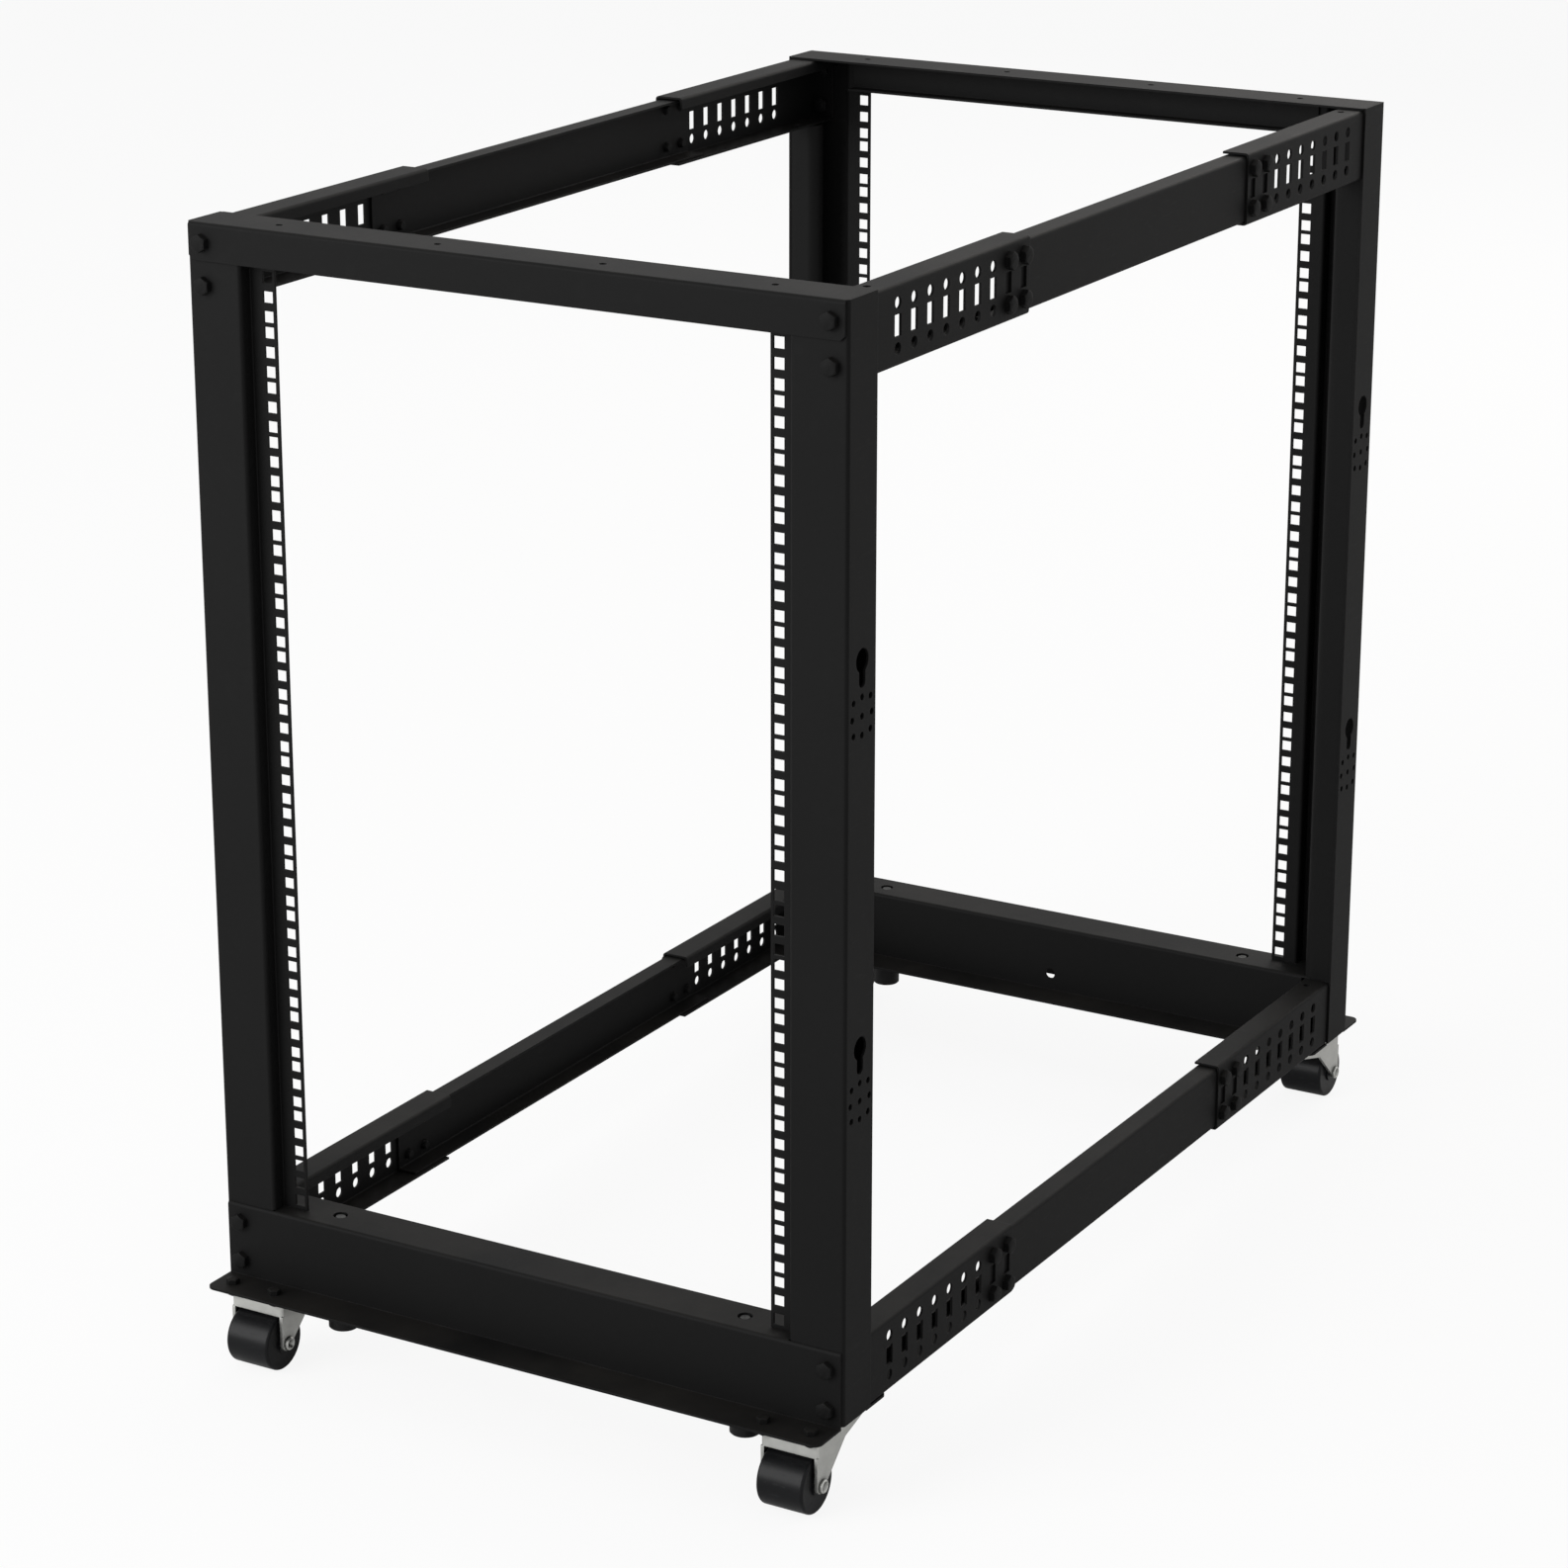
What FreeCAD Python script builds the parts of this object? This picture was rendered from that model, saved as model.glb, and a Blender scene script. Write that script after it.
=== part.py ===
"""Four post open frame rack, 18 units high, on fixed casters with levelling feet.

Frame: origin on the floor under the middle of the rack, +Z up, +X to the right
seen from the front, and the front faces -Y. Millimetres.
"""
import FreeCAD, Part
import os
import Sketcher

OUTPUT_FOLDER = "parts"
XY = "XY_Plane"
XZ = "XZ_Plane"
YZ = "YZ_Plane"

# ---------------------------------------------------------------- driving sizes
SIZES = [
    ("sheet", 2.0, "thickness of every folded steel sheet"),
    ("bend_radius", 3.0, "outside radius of a fold"),
    ("seat_gap", 0.2, "gap between two sheets that lie on each other"),
    ("rack_units", 18, "height in rack units"),
    ("unit_pitch", 44.45, "one rack unit"),
    ("hole_pitch", 15.875, "spacing of the three holes inside a unit"),
    ("square_hole", 9.5, "side of a square mounting hole"),
    ("column_spacing", 465.1, "between the left and right hole columns"),
    ("hole_edge", 7.15, "hole column to the inner edge of its flange"),
    ("flange_width", 26.0, "inner edge of the hole flange to the step wall"),
    ("face_width", 47.8, "width of the broad face of a post"),
    ("recess", 13.4, "broad face to the hole flange behind it"),
    ("side_depth", 43.5, "depth of the side plate of a post"),
    ("mount_depth", 964.6, "front mounting face to rear mounting face"),
    ("hole_rise", 8.5, "top of the base to the lowest hole centre"),
    ("keyhole_rise", 239.85, "lowest hole to the lower keyhole centre"),
    ("keyhole_units", 7, "rack units from one keyhole to the next"),
    ("keyhole_inset", 20.7, "rear edge of the side plate to the keyhole centre"),
    ("keyhole_head", 19.0, "diameter of a keyhole's round part"),
    ("keyhole_neck", 9.5, "width of a keyhole's slot"),
    ("keyhole_drop", 16.6, "keyhole centre to the centre of the slot's round end"),
    ("ring_drop", 43.6, "keyhole centre to the centre of the nine small holes"),
    ("ring_near", 15.0, "ring centre to its holes on the axes"),
    ("ring_corner", 13.0, "ring centre to its corner holes, along each axis"),
    ("ring_hole", 5.5, "diameter of the nine small holes"),
    ("beam_inset", 2.2, "outer side of a post to the end of a header or base"),
    ("post_lift", 1.0, "top of the base plate to the bottom of a post"),
    ("flange_lift", 0.3, "top of a base to the bottom of a post's step and hole flange"),
    ("header_height", 30.6, "height of a header's front"),
    ("header_depth", 46.5, "depth of a header's top"),
    ("header_gap", 4.25, "top of the highest unit to the header"),
    ("header_corner", 4.0, "chamfer at a header's lower corners"),
    ("lid_hole", 6.0, "diameter of the holes in a header's top"),
    ("lid_pitch", 150.0, "spacing of the holes in a header's top"),
    ("sleeve_height", 62.5, "height of a side rail's end sleeve"),
    ("sleeve_flange", 24.4, "width of a sleeve's plain flange"),
    ("lipped_flange", 28.0, "width of a sleeve's flange that ends in a lip"),
    ("lip_height", 10.5, "height of the lip on a sleeve's wider flange"),
    ("sleeve_lift", 0.3, "top of the base plate to the bottom of a lower sleeve"),
    ("column_pitch", 25.4, "spacing of the hole columns of a sleeve"),
    ("open_columns", 7, "hole columns of a sleeve that stay empty"),
    ("first_column", 75.9, "front end of a sleeve to its first hole column"),
    ("sleeve_end", 10.2, "last hole column to the free end of a sleeve"),
    ("round_hole", 9.3, "diameter of a sleeve's round holes"),
    ("round_spacing", 34.6, "spacing of the two round holes of a column"),
    ("slot_height", 17.0, "height of a sleeve's slots"),
    ("slot_width", 10.0, "width of a sleeve's slots"),
    ("tie_hole", 6.5, "diameter of the small hole in a sleeve's plain flange"),
    ("tie_hole_back", 56.3, "front end of a sleeve to its small hole"),
    ("tie_hole_inset", 8.7, "inner edge of a sleeve's plain flange to its small hole"),
    ("bar_height", 57.2, "height of a side rail's middle bar"),
    ("bar_flange", 19.5, "width of a middle bar's flanges"),
    ("bar_end", 13.4, "last bolted hole column to the end of a middle bar"),
    ("base_height", 65.0, "height of the box of a base above its plate"),
    ("base_depth", 45.0, "depth of the box of a base"),
    ("plate_front", 35.2, "base plate in front of the box"),
    ("plate_back", 33.0, "base plate behind the box"),
    ("plate_corner", 8.0, "corner radius of the base plate"),
    ("bridge_width", 56.0, "plate left across the open underside of a base at each foot"),
    ("cable_hole", 10.0, "diameter of the hole in the inner wall of a base"),
    ("cable_hole_rise", 16.2, "top of the base plate to the centre of that hole"),
    ("access_hole", 12.5, "diameter of the hole above a levelling foot"),
    ("foot_inset", 100.0, "end of a base to a levelling foot's axis"),
    ("foot_back", 23.2, "front of the base box to a levelling foot's axis"),
    ("foot_radius", 13.0, "radius of a levelling foot"),
    ("foot_height", 32.0, "height of a levelling foot"),
    ("foot_gap", 2.5, "base plate to a levelling foot that is wound up"),
    ("stem_radius", 5.0, "radius of a levelling foot's threaded stem"),
    ("stem_length", 68.5, "length of a levelling foot's stem"),
    ("thread_gap", 0.05, "radial clearance of a stem in its nut"),
    ("nut_width", 17.0, "width across flats of the nut on the base plate"),
    ("nut_height", 9.0, "height of the nut on the base plate"),
    ("caster_inset", 37.6, "end of a base to the middle of a caster"),
    ("caster_back", 14.8, "front of the base box to the front of a caster's skirt"),
    ("caster_rim", 5.1, "edge of the base plate to the edge of a caster's plate"),
    ("caster_sheet", 3.0, "thickness of a caster's sheet metal"),
    ("caster_bend", 3.0, "outside radius of the fold round a caster's skirt"),
    ("caster_corner", 4.0, "radius of the front corners of a caster's plate"),
    ("caster_width", 52.0, "width over a caster's legs"),
    ("skirt_height", 21.0, "height of a caster's front skirt"),
    ("leg_tip", 5.6, "radius of a leg's tip"),
    ("tip_lead", 2.4, "centre of a leg's tip in front of the axle"),
    ("leg_slope", 42.5, "slope of a leg's rear edge, in degrees"),
    ("leg_depth", 44.5, "front of a leg to the top of its sloping edge"),
    ("flange_end", 6.7, "height of a leg's flange at the rear of the caster's plate"),
    ("axle_drop", 47.2, "base plate underside to the axle"),
    ("axle_radius", 3.0, "radius of an axle"),
    ("axle_head", 5.8, "radius of an axle's heads"),
    ("axle_head_height", 2.5, "height of an axle's heads"),
    ("axle_head_edge", 0.8, "chamfer round an axle's heads"),
    ("axle_recess", 4.2, "radius of the hollow in an axle's head"),
    ("axle_recess_floor", 1.2, "radius of the bottom of that hollow"),
    ("axle_recess_depth", 4.0, "depth of that hollow"),
    ("axle_gap", 0.08, "radial clearance on an axle"),
    ("wheel_radius", 24.8, "radius of a wheel"),
    ("wheel_gap", 1.8, "side clearance of a wheel's tread in its fork"),
    ("wheel_edge", 2.5, "rounding of a wheel's edges"),
    ("hub_radius", 9.0, "radius of a wheel's hub"),
    ("hub_gap", 0.25, "gap between a hub and a leg"),
]

# ------------------------------------------------------- places worked out once
BASE_UNDER = "(Rack.wheel_radius + Rack.axle_drop)"
PLATE_TOP = f"({BASE_UNDER} + Rack.sheet)"
BASE_TOP = f"({PLATE_TOP} + Rack.base_height)"
LOWEST_HOLE = f"({BASE_TOP} + Rack.hole_rise)"
UNITS_TOP = (f"({LOWEST_HOLE} - (Rack.unit_pitch - 2 * Rack.hole_pitch) / 2"
             " + Rack.rack_units * Rack.unit_pitch)")
HEADER_BOTTOM = f"({UNITS_TOP} + Rack.header_gap)"
HEADER_TOP = f"({HEADER_BOTTOM} + Rack.header_height)"

COLUMN = "(Rack.column_spacing / 2)"
FLANGE_EDGE = f"({COLUMN} - Rack.hole_edge)"
STEP_INNER = f"({FLANGE_EDGE} + Rack.flange_width)"
POST_OUTER = f"({STEP_INNER} + Rack.face_width)"
RAIL_OUTER = f"({POST_OUTER} - Rack.sheet - Rack.seat_gap / 2)"
BEAM_END = f"({POST_OUTER} - Rack.beam_inset)"
FOOT_X = f"({BEAM_END} - Rack.foot_inset)"
CASTER_X = f"({BEAM_END} - Rack.caster_inset)"

MOUNT_Y = "(-Rack.mount_depth / 2)"
FACE_Y = f"({MOUNT_Y} - Rack.recess)"
BEAM_Y = f"({FACE_Y} - Rack.sheet)"
SIDE_BACK = f"({FACE_Y} + Rack.side_depth)"
SLEEVE_FRONT = f"({FACE_Y} + Rack.sheet + Rack.seat_gap / 2)"
BASE_BACK = f"({BEAM_Y} + Rack.base_depth)"
FOOT_Y = f"({BEAM_Y} + Rack.foot_back)"
AXLE_Y = f"({BEAM_Y} - Rack.caster_back + Rack.leg_tip + Rack.tip_lead)"
BOLTED_COLUMN = f"({SLEEVE_FRONT} + Rack.first_column + Rack.open_columns * Rack.column_pitch)"
LAST_COLUMN = f"({BOLTED_COLUMN} + Rack.column_pitch)"


# --------------------------------------------------------------------- helpers
def make_sheet(doc):
    """Put the driving sizes in the document's spreadsheet."""
    sheet = doc.addObject("Spreadsheet::Sheet", "Rack")
    for row, (alias, value, meaning) in enumerate(SIZES, start=1):
        sheet.set(f"A{row}", alias)
        sheet.set(f"B{row}", str(value))
        sheet.set(f"C{row}", meaning)
        sheet.setAlias(f"B{row}", alias)
    doc.recompute()
    return sheet


def origin_item(body, role):
    """Return one of a body's own origin planes or axes."""
    return [item for item in body.Origin.OriginFeatures if item.Role == role][0]


def new_sketch(body, name, plane, offset="0"):
    """Add a sketch on an origin plane, moved along its normal by an expression."""
    sketch = body.newObject("Sketcher::SketchObject", name)
    sketch.AttachmentSupport = [(origin_item(body, plane), "")]
    sketch.MapMode = "FlatFace"
    sketch.setExpression("AttachmentOffset.Base.z", offset)
    return sketch


def pin_point(sketch, geometry, point, place):
    """Hold one point of a sketch at a place given by two expressions."""
    for kind, text in zip(("DistanceX", "DistanceY"), place):
        value = float(sketch.evalExpression(text))
        rule = Sketcher.Constraint(kind, -1, 1, geometry, point, value)
        index = sketch.addConstraint(rule)
        sketch.setExpression(f"Constraints[{index}]", text)


def add_outline(sketch, places):
    """Draw a closed outline of straight lines through places."""
    corners = []
    for place in places:
        values = [float(sketch.evalExpression(text)) for text in place]
        corners.append(FreeCAD.Vector(values[0], values[1], 0))
    lines = []
    for start, end in zip(corners, corners[1:] + corners[:1]):
        lines.append(sketch.addGeometry(Part.LineSegment(start, end), False))
    for line, following in zip(lines, lines[1:] + lines[:1]):
        sketch.addConstraint(Sketcher.Constraint("Coincident", line, 2, following, 1))
    for line, place in zip(lines, places):
        pin_point(sketch, line, 1, place)


def add_rectangle(sketch, low, high):
    """Draw a rectangle between two corners."""
    places = [low, (high[0], low[1]), high, (low[0], high[1])]
    add_outline(sketch, places)


def add_circle(sketch, centre, diameter):
    """Draw a circle."""
    x, y = [float(sketch.evalExpression(text)) for text in centre]
    radius = float(sketch.evalExpression(diameter)) / 2
    circle = Part.Circle(FreeCAD.Vector(x, y, 0), FreeCAD.Vector(0, 0, 1), radius)
    geometry = sketch.addGeometry(circle, False)
    index = sketch.addConstraint(Sketcher.Constraint("Diameter", geometry, 2 * radius))
    sketch.setExpression(f"Constraints[{index}]", diameter)
    pin_point(sketch, geometry, 3, centre)


def finish_feature(body, feature):
    """Make a feature the body's result and work it out."""
    body.Tip = feature
    body.Document.recompute()
    return feature


def pad(body, sketch, length, both_ways=False):
    """Extrude a sketch along its normal, or half each way."""
    feature = body.newObject("PartDesign::Pad", sketch.Name + "_pad")
    feature.Profile = sketch
    feature.setExpression("Length", length)
    if both_ways:
        feature.SideType = "Symmetric"
    return finish_feature(body, feature)


def pocket(body, sketch, depth=None):
    """Cut a sketch against its normal, or right through both ways."""
    before = body.Tip.Shape.Volume
    feature = body.newObject("PartDesign::Pocket", sketch.Name + "_cut")
    feature.Profile = sketch
    if depth is None:
        feature.Type = "ThroughAll"
        feature.SideType = "Symmetric"
    else:
        feature.setExpression("Length", depth)
    finish_feature(body, feature)
    if feature.Shape.Volume >= before:
        raise RuntimeError(f"{feature.Name} cuts nothing")
    return feature


def repeat(body, feature, axis, spacing, count, backwards=False):
    """Repeat a feature along one of the body's axes."""
    pattern = body.newObject("PartDesign::LinearPattern", feature.Name + "_row")
    pattern.Originals = [feature]
    pattern.Direction = (origin_item(body, axis), [""])
    pattern.Reversed = backwards
    pattern.Mode = "Spacing"
    pattern.setExpression("Offset", spacing)
    pattern.setExpression("Occurrences", count)
    return finish_feature(body, pattern)


def round_folds(body, direction, places, radius):
    """Round the edges that run along direction through the given places."""
    feature = body.Tip
    first, second = [axis for axis in (0, 1, 2) if axis != direction]
    wanted = []
    for place in places:
        wanted.append([float(feature.evalExpression(text)) for text in place])
    names = []
    for number, edge in enumerate(feature.Shape.Edges, start=1):
        ends = [edge.Vertexes[0].Point, edge.Vertexes[-1].Point]
        if abs(ends[0][direction] - ends[1][direction]) < edge.Length - 0.01:
            continue
        for u, v in wanted:
            if abs(ends[0][first] - u) < 0.01 and abs(ends[0][second] - v) < 0.01:
                names.append(f"Edge{number}")
    fold = body.newObject("PartDesign::Fillet", "fold_" + feature.Name)
    fold.Base = (feature, names)
    fold.setExpression("Radius", radius)
    return finish_feature(body, fold)


def mirrored(doc, name, source, normal):
    """Mirror a sub-part in a plane through the origin."""
    copy = doc.addObject("Part::Mirroring", name)
    copy.Label = name
    copy.Source = source
    copy.Normal = normal
    return copy


def turned_over(doc, name, source, middle):
    """Use a right-hand sub-part on the left, turned over about its own middle."""
    flipped = mirrored(doc, name + "_flipped", source, (0, 0, 1))
    flipped.setExpression("Base.z", middle)
    return mirrored(doc, name, flipped, (1, 0, 0))


def four_corners(doc, stem, source):
    """Name a front right sub-part and mirror it to the other three corners."""
    source.Label = stem + "_front_right"
    front_left = mirrored(doc, stem + "_front_left", source, (1, 0, 0))
    rear_right = mirrored(doc, stem + "_rear_right", source, (0, 1, 0))
    rear_left = mirrored(doc, stem + "_rear_left", rear_right, (1, 0, 0))
    return [source, front_left, rear_right, rear_left]


# ----------------------------------------------------------------------- posts
def make_post(doc):
    """Fold a post: side plate, broad face, step and flange of square holes."""
    body = doc.addObject("PartDesign::Body", "post")
    outline = new_sketch(body, "post_outline", XY, f"{PLATE_TOP} + Rack.post_lift")
    add_outline(outline, [
        (POST_OUTER, FACE_Y),
        (POST_OUTER, SIDE_BACK),
        (f"{POST_OUTER} - Rack.sheet", SIDE_BACK),
        (f"{POST_OUTER} - Rack.sheet", f"{FACE_Y} + Rack.sheet"),
        (STEP_INNER, f"{FACE_Y} + Rack.sheet"),
        (STEP_INNER, f"{MOUNT_Y} + Rack.sheet"),
        (FLANGE_EDGE, f"{MOUNT_Y} + Rack.sheet"),
        (FLANGE_EDGE, MOUNT_Y),
        (f"{STEP_INNER} - Rack.sheet", MOUNT_Y),
        (f"{STEP_INNER} - Rack.sheet", FACE_Y),
    ])
    pad(body, outline, f"{HEADER_TOP} - {PLATE_TOP} - Rack.post_lift")
    round_folds(body, 2, [
        (POST_OUTER, FACE_Y),
        (f"{STEP_INNER} - Rack.sheet", FACE_Y),
        (STEP_INNER, f"{MOUNT_Y} + Rack.sheet"),
    ], "Rack.bend_radius")
    round_folds(body, 2, [
        (f"{POST_OUTER} - Rack.sheet", f"{FACE_Y} + Rack.sheet"),
        (STEP_INNER, f"{FACE_Y} + Rack.sheet"),
        (f"{STEP_INNER} - Rack.sheet", MOUNT_Y),
    ], "Rack.bend_radius - Rack.sheet")

    foot = new_sketch(body, "post_foot", XZ, f"-({FACE_Y} - 1)")
    add_rectangle(foot, (f"{FLANGE_EDGE} - 1", "0"), (STEP_INNER, f"{BASE_TOP} + Rack.flange_lift"))
    pocket(body, foot)
    crown = new_sketch(body, "post_crown", XZ, f"-({FACE_Y} - 1)")
    add_rectangle(crown, (f"{FLANGE_EDGE} - 1", f"{HEADER_TOP} - Rack.bend_radius - Rack.seat_gap"),
                  (f"{POST_OUTER} - Rack.sheet", f"{HEADER_TOP} + 1"))
    pocket(body, crown)

    unit = new_sketch(body, "unit_holes", XZ, f"-({MOUNT_Y} - 1)")
    for step in range(3):
        middle = f"{LOWEST_HOLE} + {step} * Rack.hole_pitch"
        add_rectangle(unit,
                      (f"{COLUMN} - Rack.square_hole / 2", f"{middle} - Rack.square_hole / 2"),
                      (f"{COLUMN} + Rack.square_hole / 2", f"{middle} + Rack.square_hole / 2"))
    repeat(body, pocket(body, unit), "Z_Axis", "Rack.unit_pitch", "Rack.rack_units")

    keyhole_y = f"{SIDE_BACK} - Rack.keyhole_inset"
    keyhole_z = f"{LOWEST_HOLE} + Rack.keyhole_rise"
    rounds = new_sketch(body, "keyhole_rounds", YZ, POST_OUTER)
    add_circle(rounds, (keyhole_y, keyhole_z), "Rack.keyhole_head")
    ring_z = f"{keyhole_z} - Rack.ring_drop"
    add_circle(rounds, (keyhole_y, ring_z), "Rack.ring_hole")
    for across, up in ((1, 0), (-1, 0), (0, 1), (0, -1)):
        add_circle(rounds, (f"{keyhole_y} + {across} * Rack.ring_near",
                            f"{ring_z} + {up} * Rack.ring_near"), "Rack.ring_hole")
    for across in (-1, 1):
        for up in (-1, 1):
            add_circle(rounds, (f"{keyhole_y} + {across} * Rack.ring_corner",
                                f"{ring_z} + {up} * Rack.ring_corner"), "Rack.ring_hole")
    step_height = "Rack.unit_pitch * Rack.keyhole_units"
    repeat(body, pocket(body, rounds, "2 * Rack.sheet"), "Z_Axis", step_height, "2")

    neck = new_sketch(body, "keyhole_neck", YZ, POST_OUTER)
    add_rectangle(neck, (f"{keyhole_y} - Rack.keyhole_neck / 2", f"{keyhole_z} - Rack.keyhole_drop"),
                  (f"{keyhole_y} + Rack.keyhole_neck / 2", keyhole_z))
    repeat(body, pocket(body, neck, "2 * Rack.sheet"), "Z_Axis", step_height, "2")
    end = new_sketch(body, "keyhole_end", YZ, POST_OUTER)
    add_circle(end, (keyhole_y, f"{keyhole_z} - Rack.keyhole_drop"), "Rack.keyhole_neck")
    repeat(body, pocket(body, end, "2 * Rack.sheet"), "Z_Axis", step_height, "2")
    return four_corners(doc, "post", body)


# ----------------------------------------------------------- headers and bases
def make_headers(doc):
    """Fold a header: a front strip over the posts and a top over the rails."""
    body = doc.addObject("PartDesign::Body", "header")
    body.Label = "header_front"
    outline = new_sketch(body, "header_outline", YZ)
    back = f"{BEAM_Y} + Rack.header_depth"
    add_outline(outline, [
        (BEAM_Y, HEADER_BOTTOM),
        (FACE_Y, HEADER_BOTTOM),
        (FACE_Y, f"{HEADER_TOP} - Rack.sheet"),
        (back, f"{HEADER_TOP} - Rack.sheet"),
        (back, HEADER_TOP),
        (BEAM_Y, HEADER_TOP),
    ])
    pad(body, outline, f"2 * {BEAM_END}", both_ways=True)
    round_folds(body, 0, [(BEAM_Y, HEADER_TOP)], "Rack.bend_radius")
    round_folds(body, 0, [(FACE_Y, f"{HEADER_TOP} - Rack.sheet")], "Rack.bend_radius - Rack.sheet")
    corners = new_sketch(body, "header_corners", XZ, f"-({BEAM_Y} - 1)")
    for side in (-1, 1):
        add_outline(corners, [
            (f"{side} * ({BEAM_END} + 1)", f"{HEADER_BOTTOM} - 1"),
            (f"{side} * ({BEAM_END} - Rack.header_corner)", f"{HEADER_BOTTOM} - 1"),
            (f"{side} * ({BEAM_END} - Rack.header_corner)", HEADER_BOTTOM),
            (f"{side} * {BEAM_END}", f"{HEADER_BOTTOM} + Rack.header_corner"),
            (f"{side} * ({BEAM_END} + 1)", f"{HEADER_BOTTOM} + Rack.header_corner"),
        ])
    pocket(body, corners)
    holes = new_sketch(body, "header_hole", XY, HEADER_TOP)
    add_circle(holes, ("-1.5 * Rack.lid_pitch", f"{BEAM_Y} + Rack.header_depth / 2"), "Rack.lid_hole")
    repeat(body, pocket(body, holes, "2 * Rack.sheet"), "X_Axis", "Rack.lid_pitch", "4")
    return [body, mirrored(doc, "header_rear", body, (0, 1, 0))]


def make_bases(doc):
    """Fold a base: a hat channel with wide brims, bridged under the levelling feet."""
    body = doc.addObject("PartDesign::Body", "base")
    body.Label = "base_front"
    outline = new_sketch(body, "base_outline", YZ)
    add_outline(outline, [
        (BEAM_Y, PLATE_TOP),
        (f"{BEAM_Y} - Rack.plate_front", PLATE_TOP),
        (f"{BEAM_Y} - Rack.plate_front", BASE_UNDER),
        (f"{BASE_BACK} + Rack.plate_back", BASE_UNDER),
        (f"{BASE_BACK} + Rack.plate_back", PLATE_TOP),
        (BASE_BACK, PLATE_TOP),
        (BASE_BACK, BASE_TOP),
        (BEAM_Y, BASE_TOP),
    ])
    pad(body, outline, f"2 * {BEAM_END}", both_ways=True)
    round_folds(body, 0, [(BEAM_Y, BASE_TOP), (BASE_BACK, BASE_TOP)], "Rack.bend_radius")
    round_folds(body, 2, [
        (BEAM_END, f"{BEAM_Y} - Rack.plate_front"),
        (f"-{BEAM_END}", f"{BEAM_Y} - Rack.plate_front"),
        (BEAM_END, f"{BASE_BACK} + Rack.plate_back"),
        (f"-{BEAM_END}", f"{BASE_BACK} + Rack.plate_back"),
    ], "Rack.plate_corner")
    inner_wall = f"({BASE_BACK} - Rack.sheet)"
    inside = new_sketch(body, "base_inside", YZ)
    add_rectangle(inside, (FACE_Y, PLATE_TOP), (inner_wall, f"{BASE_TOP} - Rack.sheet"))
    pocket(body, inside)
    round_folds(body, 0, [
        (FACE_Y, f"{BASE_TOP} - Rack.sheet"),
        (inner_wall, f"{BASE_TOP} - Rack.sheet"),
    ], "Rack.bend_radius - Rack.sheet")
    underside = new_sketch(body, "base_underside", XY, PLATE_TOP)
    bridge_in = f"({FOOT_X} - Rack.bridge_width / 2)"
    bridge_out = f"({FOOT_X} + Rack.bridge_width / 2)"
    add_rectangle(underside, (f"-{bridge_in}", FACE_Y), (bridge_in, inner_wall))
    for side in (-1, 1):
        add_rectangle(underside, (f"{side} * {bridge_out}", FACE_Y),
                      (f"{side} * ({BEAM_END} + 1)", inner_wall))
    pocket(body, underside, "2 * Rack.sheet")

    rail_inner = f"({RAIL_OUTER} - Rack.lipped_flange - Rack.seat_gap)"
    rear_notch = new_sketch(body, "base_rail_notch", XZ, f"-({inner_wall} - 1)")
    for side in (-1, 1):
        add_rectangle(rear_notch, (f"{side} * {rail_inner}", PLATE_TOP),
                      (f"{side} * ({BEAM_END} + 1)", f"{BASE_TOP} - Rack.sheet"))
    add_circle(rear_notch, ("0", f"{PLATE_TOP} + Rack.cable_hole_rise"), "Rack.cable_hole")
    notch = body.newObject("PartDesign::Pocket", "base_rail_notch_cut")
    notch.Profile = rear_notch
    notch.setExpression("Length", "2 * Rack.sheet")
    finish_feature(body, notch)
    post_notch = new_sketch(body, "base_post_notch", XY, BASE_TOP)
    for side in (-1, 1):
        add_rectangle(post_notch,
                      (f"{side} * ({STEP_INNER} - Rack.sheet - Rack.seat_gap)", FACE_Y),
                      (f"{side} * ({BEAM_END} + 1)", f"{FACE_Y} + Rack.sheet + Rack.seat_gap"))
    pocket(body, post_notch, "Rack.sheet + Rack.bend_radius")

    access = new_sketch(body, "base_access", XY, BASE_TOP)
    threads = new_sketch(body, "base_threads", XY, PLATE_TOP)
    nuts = new_sketch(body, "base_nuts", XY, PLATE_TOP)
    for side in (-1, 1):
        foot_x = f"{side} * {FOOT_X}"
        add_circle(access, (foot_x, FOOT_Y), "Rack.access_hole")
        add_circle(threads, (foot_x, FOOT_Y), "2 * (Rack.stem_radius + Rack.thread_gap)")
        half = "Rack.nut_width / 2"
        point = "Rack.nut_width / sqrt(3)"
        add_outline(nuts, [
            (f"{foot_x} + {point}", FOOT_Y),
            (f"{foot_x} + {point} / 2", f"{FOOT_Y} + {half}"),
            (f"{foot_x} - {point} / 2", f"{FOOT_Y} + {half}"),
            (f"{foot_x} - {point}", FOOT_Y),
            (f"{foot_x} - {point} / 2", f"{FOOT_Y} - {half}"),
            (f"{foot_x} + {point} / 2", f"{FOOT_Y} - {half}"),
        ])
    pocket(body, access, "2 * Rack.sheet")
    pad(body, nuts, "Rack.nut_height")
    bores = body.newObject("PartDesign::Pocket", "base_thread_cut")
    bores.Profile = threads
    bores.SideType = "Symmetric"
    bores.setExpression("Length", "2 * Rack.nut_height + 4 * Rack.sheet")
    finish_feature(body, bores)
    return [body, mirrored(doc, "base_rear", body, (0, 1, 0))]


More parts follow.
